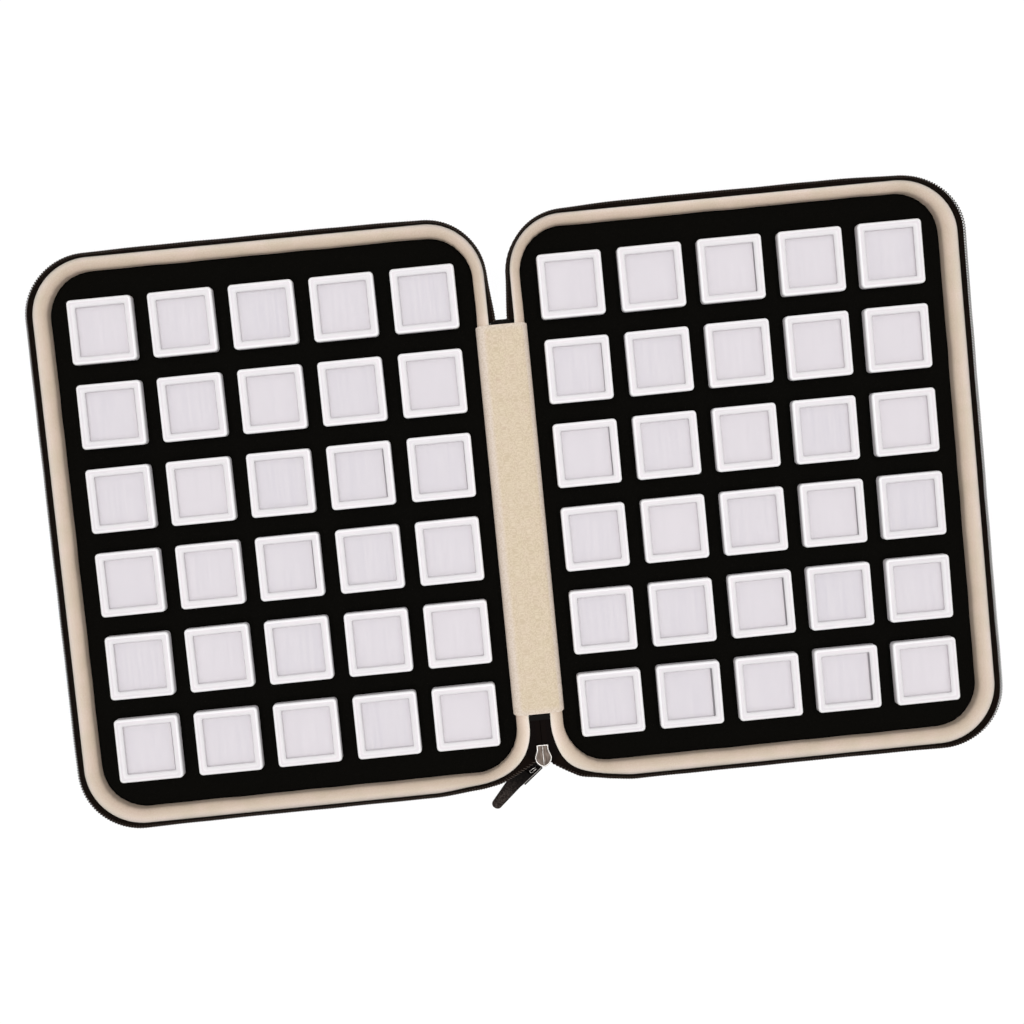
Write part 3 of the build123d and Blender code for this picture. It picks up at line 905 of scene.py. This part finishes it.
def tape_lay(distance, outward, point, side):
    """Lean of the tape from upright, and its free length, along the run.

    Round the front corner by the spine the tape lies down. Its edge meets the other tape's on the centre
    line, runs straight from the gore's apex to its foot, and stands up again past the foot.
    """
    lost = BEND_LENGTH * (1 - 2 / math.pi)
    widest = TAPE_FREE - lost
    front_y = RIM[0][1]
    apex, foot = (np.add(spot, (0.0, front_y)) for spot in GORE[side])
    centre = (RIM[0][0] + RIM_RADIUS, front_y + RIM_RADIUS)
    from_centre = np.subtract(centre, foot)
    foot_angle = math.atan2(from_centre[1], from_centre[0])
    foot_run = np.array([BEGINS[8] - foot_angle * RIM_RADIUS])
    foot_swell = padding_swell(foot_run, rim_run(foot_run)[1], side)[0]
    foot_reach = math.hypot(*from_centre) - RIM_RADIUS - foot_swell
    angle = np.clip((BEGINS[8] - distance) / RIM_RADIUS, 0.0, math.pi / 2)
    to_edge = np.where(angle < foot_angle, to_line(point, outward, apex, foot), foot_reach)
    to_centre = to_line(point, outward, (CENTRE_GAP, 0.0), (CENTRE_GAP, -1.0))
    fade = smooth((angle - foot_angle) / GORE_FADE)
    upright = standing_reach(distance, outward, side)
    reach = np.where(distance > BEGINS[7], np.minimum(to_edge, widest) * (1 - fade) + upright * fade, upright)
    meets = (distance > BEGINS[7]) & (to_centre < reach)
    lay = np.where(meets, math.pi / 2, np.arcsin(np.clip(reach / widest, -1.0, 1.0)))
    free = np.where(meets, to_centre + lost, TAPE_FREE)
    return lay, free


def tape_curve(distance, side, count=12):
    """Middle line of the tape's section at each station: outward distance and height, and the lay angle.

    It rises from the shell's wall, moves out with the padding's swell, and bends over above the rim.
    """
    point, outward = rim_run(distance)
    swell = padding_swell(distance, outward, side)[:, None]
    lay, free = tape_lay(distance, outward, point + outward * swell, side)
    low = TAPE[0][2]
    bend_z = RIM_TOP - BEND_BELOW_RIM
    sewn = bend_z - low
    steps = np.concatenate([
        np.linspace(0, sewn, 5)[:-1],
        sewn + np.linspace(0, BEND_LENGTH, 6)[:-1],
    ])
    after = np.linspace(0, 1, count)[None, :] * (free - BEND_LENGTH)[:, None] + sewn + BEND_LENGTH
    length = np.concatenate([np.broadcast_to(steps, (len(distance), len(steps))), after], axis=1)
    turn = lay[:, None] * smooth((length - sewn) / BEND_LENGTH)
    middle_turn = (turn[:, 1:] + turn[:, :-1]) / 2
    pieces = np.diff(length, axis=1)
    out = np.cumsum(pieces * np.sin(middle_turn), axis=1)
    up = np.cumsum(pieces * np.cos(middle_turn), axis=1)
    zero = np.zeros((len(distance), 1))
    out = np.concatenate([zero, out], axis=1) + TAPE_THICKNESS / 2 + swell * smooth(length / sewn)
    up = np.concatenate([zero, up], axis=1) + low
    return point, outward, length, turn, out, up


def tape_patch(distance, side):
    """Tape with its thickness: the middle line shifted to both faces, joined into a closed section.

    tone is 1 where the tape lies flat, less on the strip woven over the coil; it sets how much painted shade
    the tape gets.
    """
    point, outward, length, turn, out, up = tape_curve(distance, side)
    half = TAPE_THICKNESS / 2
    face_out = (out + half * np.cos(turn), up - half * np.sin(turn))
    face_in = (out - half * np.cos(turn), up + half * np.sin(turn))
    ring_out = np.concatenate([face_in[0], face_out[0][:, ::-1]], axis=1)
    ring_up = np.concatenate([face_in[1], face_out[1][:, ::-1]], axis=1)
    points = raised(point, outward, ring_out, ring_up)
    across = np.concatenate([length, length[:, ::-1], length[:, :1]], axis=1)
    uv = np.stack([np.broadcast_to(distance[:, None], across.shape), across], axis=-1)
    beside_edge = 1 - smooth((length[:, -1:] - length - WOVEN_STRIP) / WOVEN_STRIP_FADE)
    lies = (1 - 0.25 * beside_edge) * smooth(turn[:, -1:] / (math.pi / 2)) ** 4
    tone = np.concatenate([lies, lies[:, ::-1]], axis=1)
    return patch(points, wrap_v=True, caps=True, uv=uv, tone=tone)


def ring_grid(line, radius, first, second, sides):
    """Circles along a line of points, each in the plane of two directions at its point."""
    angle = 2 * math.pi * np.arange(sides) / sides
    circle = (
        np.cos(angle)[None, :, None] * first[:, None, :]
        + np.sin(angle)[None, :, None] * second[:, None, :]
    )
    return line[:, None, :] + radius * circle


def coil_patch(begin, end, side):
    """Coil: one wire wound round the tape's edge, as a tube that follows a helix along the run.

    The helix centre is the edge's point, moved under the tape or past its edge, and its turn is 2 pi times
    the distance over the pitch.
    """
    per_turn, sides = 8, 5
    distance = stations(begin, end, COIL_PITCH / per_turn)
    point, outward, _, turn, out, up = tape_curve(distance, side)
    edge = np.column_stack([point + outward * out[:, -1:], up[:, -1]])
    lay = turn[:, -1]
    away = np.column_stack([outward * np.sin(lay)[:, None], np.cos(lay)])
    beside = np.column_stack([outward * np.cos(lay)[:, None], -np.sin(lay)])
    phase = 2 * math.pi * distance / COIL_PITCH
    beneath = smooth(lay / (math.pi / 2))[:, None] ** 3
    past = by_facing(outward, COIL_SIDE[side] + COIL_BACK, 0.0, 0.0) - COIL_BACK
    flat_out = np.column_stack([outward, np.zeros(len(outward))])
    centre = edge + beside * (COIL_BESIDE + (COIL_BENEATH - COIL_BESIDE) * beneath) + flat_out * past[:, None]
    radial = np.cos(phase)[:, None] * away + np.sin(phase)[:, None] * beside
    line = centre + COIL_TURN * radial
    tangent = unit(np.gradient(line, axis=0))
    radial = unit(radial - tangent * np.sum(radial * tangent, axis=1, keepdims=True))
    ring = ring_grid(line, COIL_WIRE, radial, np.cross(tangent, radial), sides)
    return patch(ring[:, ::-1], wrap_v=True, caps=True)


def stitch_patch(begin, end, side):
    """Sewing thread on the tape's outer face: a tube whose line lies on the face and dips into it.

    The depth of the line is a power of the cosine of pi times the distance over the stitch length.
    """
    distance = stations(begin, end, STITCH_LENGTH / 8)
    point, outward = rim_run(distance)
    dip = np.abs(np.cos(math.pi * distance / STITCH_LENGTH)) ** 6
    height = RIM_TOP - STITCH_BELOW_RIM
    risen = smooth((height - TAPE[0][2]) / (RIM_TOP - BEND_BELOW_RIM - TAPE[0][2]))
    face = TAPE_THICKNESS + THREAD_RADIUS * (0.8 - 2.2 * dip)
    out = face + padding_swell(distance, outward, side) * risen
    angle = np.arange(5) * 2 * math.pi / 5
    reach = out[:, None] + THREAD_RADIUS * np.cos(angle)[None, :]
    points = raised(point, outward, reach, height + THREAD_RADIUS * np.sin(angle))
    return patch(points, wrap_v=True, caps=True)


def make_zipper(side, tape_material, coil_material):
    """Tape and coil of a half: one stretch stands round the rim, and one lies towards the slider."""
    notch = COVER[1][1] - TAPE_BEFORE_COVER_END - RIM_MIDDLE[1]
    split = BEGINS[8] - LYING_ANGLE * RIM_RADIUS
    close = RUN_LENGTH - (RIM_MIDDLE[1] - COVER[0][1])
    half = f"{side}_half"
    seam = make_piece(f"{side}_tape_stitches", [stitch_patch(notch, split, side)], coil_material, side)
    settle(seam, half, "zip_tape")
    standing = [tape_patch(stations(notch, split, RUN_STEP), side)]
    tape = make_piece(f"{side}_tape_standing", standing, tape_material, side, 60)
    settle(tape, half, "zip_tape", f"{side}_zipper_tape")
    coil = make_piece(f"{side}_coil_standing", [coil_patch(notch, split, side)], coil_material, side)
    settle(coil, half, "zip_coil", f"{side}_zipper_coil")
    lying = [tape_patch(stations(split, close, RUN_STEP / 4), side)]
    web = make_piece(f"{side}_tape_web", lying, tape_material, side, 60)
    bend_at_fold(web, side, RIM_TOP, "zip_tape", "zipper_tail", out=WEB_FOLD_OUT)
    mouth = make_piece(f"{side}_coil_mouth", [coil_patch(split, close, side)], coil_material, side)
    bend_at_fold(mouth, side, RIM_TOP, "zip_coil", "zipper_tail", out=WEB_FOLD_OUT)


# Spine


def strip_patch(path, normal, thickness, front, back, pull_in, tone=0.0):
    """Strip of sheet: a path across, carried from front to back, with its thickness to both sides.

    pull_in is how far each point of the path stops short of both ends. The ends close by a round edge with
    tone 1: painted highlight.
    """
    half = thickness / 2
    ring = np.concatenate([path + normal * half, (path - normal * half)[::-1]])
    core = np.concatenate([path, path[::-1]])
    short = np.concatenate([pull_in, pull_in[::-1]])
    swell = np.sin(np.radians((0, 45, 80)))
    loops = [(core + (ring - core) * (0.25 + 0.75 * s), front + short + half * (1 - s)) for s in swell]
    for share in np.linspace(0, 1, 60)[1:-1]:
        loops.append((ring, front + short + (back - front - 2 * short) * share))
    loops += [(core + (ring - core) * (0.25 + 0.75 * s), back - short - half * (1 - s)) for s in swell[::-1]]
    points = np.stack([np.column_stack([flat[:, 0], y, flat[:, 1]]) for flat, y in loops])
    across = np.concatenate([[0.0], np.cumsum(np.linalg.norm(np.diff(path, axis=0), axis=1))])
    across = np.concatenate([across, across[::-1], across[:1]])
    along = np.concatenate([points[:, :, 1], points[:, :1, 1]], axis=1)
    uv = np.stack([np.broadcast_to(across, along.shape), along], axis=-1)
    tone = np.broadcast_to(tone, len(path))
    tones = np.tile(np.concatenate([tone, tone[::-1]])[::-1], (len(points), 1))
    tones[:len(swell)] = tones[-len(swell):] = 1.0
    return patch(points[:, ::-1], wrap_v=True, caps=True, uv=uv[:, ::-1], tone=tones)


def make_band(side, material):
    """Half of the spine's inner band: flat from the centre, over the rim's crest and down its inner wall."""
    thickness = BAND[1][2] - BAND[0][2]
    level = BAND[1][2] - thickness / 2
    crest_x = RIM[0][0] + RIM_CREST
    bend_z = RIM_TOP - RIM_CREST
    radius = level - bend_z
    flat_x = np.concatenate([
        np.linspace(0, FOLD_END, 4)[:-1], np.linspace(FOLD_END, FOLD_START, 5)[:-1],
        np.linspace(FOLD_START, crest_x, 4)[:-1],
    ])
    flat = np.column_stack([flat_x, np.full(len(flat_x), level)])
    bend = arc((crest_x, bend_z), radius, 90, 0, 8)
    tuck = np.array([(crest_x + radius, FLAP[0][2])])
    path = np.concatenate([flat, bend, tuck])
    tangent = unit(np.gradient(path, axis=0))
    normal = np.column_stack([-tangent[:, 1], tangent[:, 0]])
    normal[0] = (0, 1)
    normal[-1] = (1, 0)
    past = np.maximum(path[:, 0] - crest_x - 0.4 * radius, 0) / radius
    pull_in = BAND_TUCKED_SHORTER * past ** 2
    highlight_from, highlight_length = BAND_PAINTED_HIGHLIGHT[side]
    # Painted highlight where the band turns down past the rim's crest.
    tone = smooth((path[:, 0] - crest_x - highlight_from) / highlight_length)
    part = strip_patch(path, normal, thickness, FLAP[0][1], FLAP[1][1] + BAND_LONGER, pull_in, tone)
    obj = make_piece(f"{side}_spine_band", [part], material, side, 60)
    bend_at_fold(obj, side, level, "spine_leather", f"{side}_band_flap", "spine_band")


def make_hinge_cloth(side, material):
    """Half of the spine's outer cloth, under the band, from the centre to the shell's side."""
    thickness = COVER[1][2] - COVER[0][2]
    level = COVER[0][2] + thickness / 2
    x = np.concatenate([np.linspace(0, FOLD_END, 4)[:-1], np.linspace(FOLD_END, RIM[0][0] - 0.05 * MM, 5)])
    path = np.column_stack([x, np.full(len(x), level)])
    normal = np.tile((0.0, 1.0), (len(x), 1))
    part = strip_patch(path, normal, thickness, COVER[0][1], COVER[1][1], np.zeros(len(x)))
    obj = make_piece(f"{side}_hinge_cloth", [part], material, side, 60)
    bend_at_fold(obj, side, level, "shell_fabric", "spine_cover")


# Gem boxes


def place_boxes(stack, tones, spots, seed, caps=False, wrap_u=True, cuts=None):
    """One patch for each box of a column, with the box's own small shift and turn.

    cuts says how far each box's piece falls short on its side towards +X.
    """
    parts = []
    for row, spot in enumerate(spots):
        chance = np.random.default_rng(seed + row)
        shift = chance.uniform(-BOX_SHIFT, BOX_SHIFT, 2)
        turn = chance.uniform(-BOX_TURN, BOX_TURN)
        c, s = math.cos(turn), math.sin(turn)
        points = stack.copy()
        if cuts is not None:
            half = stack[..., 0].max()
            points[..., 0] -= np.maximum(stack[..., 0], 0) / half * cuts[row]
        points[..., :2] = points[..., :2] @ np.array([[c, s], [-s, c]]) + spot + shift
        parts.append(patch(points, wrap_u=wrap_u, wrap_v=True, caps=caps, tone=tones[:, None]))
    return parts


def lid_stack(outer, top, bottom):
    """Lid frame's loops: up inside the skirt, up the window's slope, over the top and down outside."""
    small = 0.15 * MM
    plate = top - 1.8 * MM
    skirt = 13.9 * MM
    window = 11.4 * MM
    slope = 1.5 * MM
    edge = 1.0 * MM
    # The last number of each row is its tone: painted highlight on the rounded outer edge, painted light on
    # the window's wall and slope.
    rows = [
        (skirt, 0.9 * MM, bottom, 0.0),
        (skirt, 0.9 * MM, plate, 0.0),
        (window, WINDOW_CORNER, plate, 1.0),
        (window + 0.34 * MM, WINDOW_CORNER, top - 0.75 * MM, 1.0),
        (window + 0.46 * MM, WINDOW_CORNER + 0.1 * MM, top - 0.6 * MM, 0.8),
        (window + 0.8 * slope, WINDOW_CORNER + 0.5 * MM, top - 0.12 * MM, 0.6),
        (window + slope, WINDOW_CORNER + 0.6 * MM, top, 0.3),
        (window + slope + small, WINDOW_CORNER + 0.7 * MM, top, 0.0),
        (outer - edge - 0.25 * MM, BOX_CORNER - edge, top, 0.0),
    ]
    for angle in np.radians((90, 67, 45, 22, 0)):
        inset = edge * (1 - math.cos(angle))
        rows.append((outer - inset, BOX_CORNER - inset * 0.9, top - edge + edge * math.sin(angle), 1.0))
    rows.append((outer, BOX_CORNER, bottom + small, 0.2))
    rows.append((outer - small, BOX_CORNER, bottom, 0.0))
    return square_stack(rows)


def base_stack(outer, top, bottom):
    """Box base's loops: floor inside, up the wall, over the lip, down outside to the underside."""
    inside = 12.5 * MM
    lip = 13.7 * MM
    shoulder = top - 2.4 * MM
    rows = [
        (inside, 0.8 * MM, bottom + 1.2 * MM, 0.0),
        (inside, 0.8 * MM, top, 0.0),
        (lip, 1.0 * MM, top, 0.0),
        (lip, 1.0 * MM, shoulder, 0.0),
        (outer - 0.1 * MM, 1.4 * MM, shoulder, 0.0),
        (outer, 1.4 * MM, shoulder - 0.15 * MM, 0.0),
        (outer, 1.4 * MM, bottom + 0.5 * MM, 0.0),
        (outer - 0.15 * MM, 1.3 * MM, bottom + 0.15 * MM, 0.0),
        (outer - 0.5 * MM, 1.2 * MM, bottom, 0.0),
    ]
    return square_stack(rows)


def pane_stack(half, top, bottom):
    """Pane's loops: top face's edge down to the bottom face's edge."""
    return square_stack([(half, 0.4 * MM, level, 0.0) for level in (top, bottom)])


def pad_stack(half, top, bottom):
    """Pad's loops: a gently crowned top, edges drawn down, straight sides."""
    corner = 1.0 * MM
    # The last number of each row is its tone: the pad's edges are painted paler, painted light over their
    # shade.
    rows = [
        (half * 0.25, corner, top, 0.0),
        (half * 0.6, corner, top - 0.05 * MM, 0.0),
        (half * 0.83, corner, top - 0.14 * MM, 0.1),
        (half - 1.2 * MM, corner, top - 0.18 * MM, 0.4),
        (half - 0.4 * MM, corner, top - 0.22 * MM, 0.8),
        (half - 0.1 * MM, corner, top - 0.3 * MM, 1.0),
        (half, corner, top - 0.6 * MM, 1.0),
        (half, corner, bottom, 1.0),
    ]
    return square_stack(rows)


def make_boxes(side, materials):
    """The gem boxes of a half: for each column a base, pad, pane and lid piece, six boxes in each.

    Some pads were cut short on one side, and leave a dark gap beside the lid's window.
    """
    kinds = {
        "bases": (base_stack, "box_white", "boxes", True, False),
        "pads": (pad_stack, "pad_white", "boxes", True, False),
        "panes": (pane_stack, "window_clear", "lids", True, False),
        "lids": (lid_stack, "box_white", "lids", False, True),
    }
    spots = box_spots(side)
    for column, places in spots.items():
        seed = 1000 * column + (500 if side == "left" else 0)
        chance = np.random.default_rng(seed)
        shades = chance.uniform(0, 1, ROWS)
        short = chance.uniform(*PAD_SHORTFALL, ROWS) * MM
        short = np.where(short > PAD_SHORTFALL_LEAST, short, 0.0)
        for kind, (stack, slot, body, caps, wrap_u) in kinds.items():
            node = f"{side}_box_{kind}_{column}"
            low, high = corners(node)
            points, tones = stack((high[0] - low[0]) / 2, high[2], low[2])
            cuts = short if kind == "pads" else None
            parts = place_boxes(points[::-1], tones[::-1], places, seed, caps, wrap_u, cuts)
            obj = make_piece(f"{side}_gem_{kind}_{column}", parts, materials[slot], edges=40, shades=shades)
            settle(obj, f"{side}_{body}_{column}", slot, node)


# Slider and pull


def slider_edge():
    """Outline of the slider's face, clockwise from the middle of its back, and the inward directions.

    Half of it is the neck's straight side, the flare, and a quarter turn of a circle that leaves the widest
    place along Y and ends on the centre line. The other half mirrors it.
    """
    length = SLIDER[1][1] - SLIDER[0][1]
    tail = length - SLIDER_WIDE_AT
    radius = (SLIDER_WIDE ** 2 + tail ** 2) / (2 * SLIDER_WIDE)
    sweep = math.asin(tail / radius)
    bow = np.linspace(0, sweep, 24)
    bevel = 0.4 * MM
    line = np.concatenate([
        [(0.0, 0.0), (SLIDER_NECK - bevel, 0.0), (SLIDER_NECK, -bevel), (SLIDER_NECK, -SLIDER_NECK_END)],
        np.column_stack([
            SLIDER_WIDE - radius + radius * np.cos(bow),
            -SLIDER_WIDE_AT - radius * np.sin(bow),
        ]),
    ])
    line = np.concatenate([line, line[-2:0:-1] * (-1, 1)])
    steps = np.linalg.norm(np.roll(line, -1, axis=0) - line, axis=1)
    along = np.concatenate([[0.0], np.cumsum(steps)])
    even = np.linspace(0, along[-1], 121)[:-1]
    closed = np.vstack([line, line[:1]])
    outline = np.column_stack([np.interp(even, along, closed[:, k]) for k in (0, 1)])
    heading = unit(np.roll(outline, -2, axis=0) - np.roll(outline, 2, axis=0))
    inward = np.column_stack([heading[:, 1], -heading[:, 0]])
    return outline + (0.0, SLIDER[1][1]), inward


def make_slider_face(material):
    """Raised rim and middle ridge of the slider's face, on its flat plate."""
    outline, inward = slider_edge()
    top = SLIDER[1][2]
    profile = np.array([
        (0.0, -0.15), (0.0, 0.08), (0.12, 0.26), (0.34, 0.3), (0.56, 0.24), (0.72, 0.04), (0.74, -0.15),
    ]) * MM
    reach = np.broadcast_to(profile[:, 0], (len(outline), len(profile)))
    rim = raised(outline, inward, reach, top + profile[:, 1])
    along = np.linspace(SLIDER[1][1] - 0.5 * MM, SLIDER[0][1] + 0.5 * MM, 24)
    share = np.linspace(-1, 1, 24)
    width = RIDGE_HALF_WIDTH * (1 - share ** 8) + RIDGE_END_HALF_WIDTH
    angle = np.radians(np.linspace(-20, 200, 8))
    x = width[:, None] * np.cos(angle)[None, :]
    y = np.broadcast_to(along[:, None], x.shape)
    z = top + RIDGE_HEIGHT * np.sin(angle)[None, :] * (1 - share[:, None] ** 10)
    ridge = np.stack([x, y, z], axis=-1)
    parts = [patch(rim, wrap_u=True, wrap_v=True), patch(ridge[:, ::-1], wrap_v=True, caps=True)]
    settle(make_piece("slider_face", parts, material, edges=50), "slider", "slider_metal")


def pull_place(along, across, up):
    """Points given in the pull's own frame: along it from its pivot, across it, and out of its flat face."""
    swing = next(joint for joint in frame["joints"] if joint["name"] == "pull_swing")
    pivot = np.array(swing["pos_m"])
    side = -np.array(swing["axis"], float)
    flat = np.array([side[1], -side[0], 0.0])
    down = flat * math.cos(PULL_SLOPE) + np.array([0.0, 0.0, -math.sin(PULL_SLOPE)])
    out = np.cross(down, side)
    return pivot + along[..., None] * down + across[..., None] * side + up[..., None] * out


def signed_root(x):
    """Root of a number's size, with the number's own sign."""
    return np.sign(x) * np.abs(x) ** 0.5


def make_tab(material):
    """Grip: a rounded bar that narrows to a round end, with a fine crossed hatch on both faces.

    A section is a superellipse of power 4: across is the width times the root of the cosine, up is the
    thickness times the root of the sine. The hatch is the product of two sines of the slanted distances.
    A tongue of the same stuff fills the far part of the plate's slot, with an elliptic section.
    """
    body = np.linspace(TAB_START, TAB_END - TAB_TIP, 130)
    turn = np.linspace(0, math.pi / 2, 14)[1:]
    along = np.concatenate([[TAB_START], body, TAB_END - TAB_TIP + TAB_TIP * np.sin(turn) * 0.999])
    left, right = (np.interp(along, TAB_SPOTS, edge) for edge in (TAB_LEFT, TAB_RIGHT))
    width = (left + right) / 2
    middle = (right - left) / 2
    past = np.clip((along - (TAB_END - TAB_TIP)) / TAB_TIP, 0, 1)
    round_end = np.sqrt(1 - past ** 2)
    width = width * round_end
    thickness = TAB_HALF_THICKNESS * np.maximum(round_end, 0.05) ** 0.4
    width[0] *= 0.9
    thickness[0] *= 0.8
    angle = np.linspace(0, 2 * math.pi, 49)[:-1]
    across = width[:, None] * signed_root(np.cos(angle))
    rise = signed_root(np.sin(angle))
    lengthways = np.broadcast_to(along[:, None], across.shape)
    slants = [2 * math.pi * slant / HATCH_PITCH for slant in (lengthways + across, lengthways - across)]
    hatch = np.sin(slants[0]) * np.sin(slants[1])
    worked = smooth((along - TAB_START) / (5 * MM))[:, None] * round_end[:, None]
    up = rise * (thickness[:, None] - HATCH_DEPTH * worked * (0.5 - 0.5 * hatch))
    # tone grows towards the grip's end and is less in the hatch's grooves, which are painted darker: painted
    # shade.
    tone = smooth((along - TAB_START) / (TAB_END - TAB_START))[:, None] * (0.65 + 0.35 * hatch)
    points = pull_place(lengthways, across + middle[:, None], up)
    grip = patch(points[:, ::-1], wrap_v=True, caps=True, tone=tone[:, ::-1])
    reach = np.linspace(0, 1, 12)[:, None]
    along = SLOT_FILL + (SLOT_END - SLOT_FILL - 0.03 * MM) * np.sin(reach * math.pi / 2)
    blunt = np.sqrt(np.maximum(1 - np.maximum((along - SLOT_END + SLOT_HALF) / SLOT_HALF, 0) ** 2, 0.01))
    across = (SLOT_HALF - 0.04 * MM) * blunt * np.cos(angle)[None, :]
    up = TONGUE_HALF_THICKNESS * np.sin(angle)[None, :] + 0 * along
    points = pull_place(np.broadcast_to(along, up.shape), across, up)
    tongue = patch(points[:, ::-1], wrap_v=True, caps=True)
    obj = make_piece("pull_grip", [grip, tongue], material, edges=50)
    settle(obj, "pull", "pull_rubber", "pull_tab")


def tube(line, radius):
    """Round bead along a line of points: a circle square to the line at each of them."""
    heading = unit(np.gradient(line, axis=0))
    level = unit(np.cross(heading, (0.0, 0.0, 1.0)))
    return patch(ring_grid(line, radius, level, np.cross(level, heading), 6), wrap_v=True, caps=True)


def make_bail_edges(bright, dark):
    """Bright metal lines on the bail, a painted highlight, and the plate's folded side beside the grip.

    The highlight loop is an arc round the slot's lower end with a straight arm at each side of it.
    """
    face = BAIL_HALF_THICKNESS
    loop = np.vstack([(8.0, 1.0), arc((11.3, 0.9), 0.72, -105, 82, 12), (8.3, 1.85)]) * MM
    highlight_loop = pull_place(loop[:, 0], loop[:, 1], np.full(len(loop), face))
    share = np.linspace(0, 1, 30)
    shine, fold = (
        pull_place(FOLD_FROM + length * share, across - drift * share, np.full(30, face + rise))
        for length, across, drift, rise in (SHINE_LINE, FOLD_LINE)
    )
    highlight_lines = make_piece("bail_painted_highlights", [tube(highlight_loop, HIGHLIGHT_LOOP_BEAD), tube(shine, SHINE_BEAD)], bright)
    folded = make_piece("bail_folded_side", [tube(fold, FOLD_BEAD)], dark)
    for obj in (highlight_lines, folded):
        settle(obj, "pull", "bail_metal")


# Floor, light and camera


def make_floor(material):
    """Wide lit sheet of the light table under the case."""
    reach = 3.0
    grid = reach * np.array([[(-1, -1, 0), (-1, 1, 0)], [(1, -1, 0), (1, 1, 0)]], float)
    make_piece("paper_floor", [patch(grid)], material)


def set_light():
    """Even studio light: a pale dome with a large square soft box high overhead, facing down."""
    world = bpy.data.worlds.new("studio")
    world.use_nodes = True
    set_inputs(world.node_tree.nodes["Background"], {"Color": "#FFFFFF", "Strength": 0.45})
    bpy.context.scene.world = world
    data = bpy.data.lights.new("overhead", "AREA")
    data.shape = "SQUARE"
    data.size = 2.4
    data.energy = 56.0
    light = bpy.data.objects.new("overhead", data)
    light.location = (0.0, 0.05, 3.0)
    light.rotation_euler = Vector((0.0, 0.0, -1.0)).to_track_quat("-Z", "Y").to_euler()
    bpy.context.scene.collection.objects.link(light)


def set_camera():
    """Camera above the case, as the photograph was taken: nearly straight down, turned by a few degrees."""
    data = bpy.data.cameras.new("above")
    data.lens = CAMERA_LENS
    data.sensor_width = 36.0
    data.clip_start = 0.01
    data.clip_end = 20.0
    camera = bpy.data.objects.new("above", data)
    camera.location = CAMERA_PLACE + (0.0, RIM_MIDDLE[1], RIM_TOP)
    camera.rotation_euler = [math.radians(angle) for angle in CAMERA_TURN]
    bpy.context.scene.collection.objects.link(camera)
    bpy.context.scene.camera = camera


def dress_cad_node(node, material):
    """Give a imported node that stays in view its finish."""
    obj = frame["nodes"][node]
    obj.data.materials.clear()
    obj.data.materials.append(material)


shell_cloth = coated_polyester()
rim_cloth = brushed_lining()
foam = eva_foam()
tape_cloth = woven_tape()
coil_nylon = nylon_coil()
band_leather = leatherette()
box_materials = {"box_white": white_polystyrene(), "window_clear": clear_acrylic(), "pad_white": pad_foam()}
for side_name in SIDES:
    make_shell(side_name, shell_cloth)
    make_lining(side_name, rim_cloth)
    make_foam(side_name, foam)
    make_zipper(side_name, tape_cloth, coil_nylon)
    make_band(side_name, band_leather)
    make_hinge_cloth(side_name, shell_cloth)
    make_boxes(side_name, box_materials)
# The slider's flat plate gets a darker copy of the plated zinc.
dress_cad_node("zip_slider", plated_zinc("nickel_plated_zinc_darker", "#3D3530", "#645A53"))
black_steel = blackened_steel()
dress_cad_node("pull_bail", black_steel)
# A bright copy of the same zinc, on the slider's raised rim and ridge and the bail's edge lines: painted
# highlight.
zinc_painted_highlight = plated_zinc("nickel_plated_zinc", "#C4BDB7", "#F0ECE8")
make_slider_face(zinc_painted_highlight)
make_tab(moulded_pvc())
make_bail_edges(zinc_painted_highlight, black_steel)
make_floor(pale_floor())
set_light()
set_camera()
bpy.context.scene.view_settings.view_transform = "Standard"
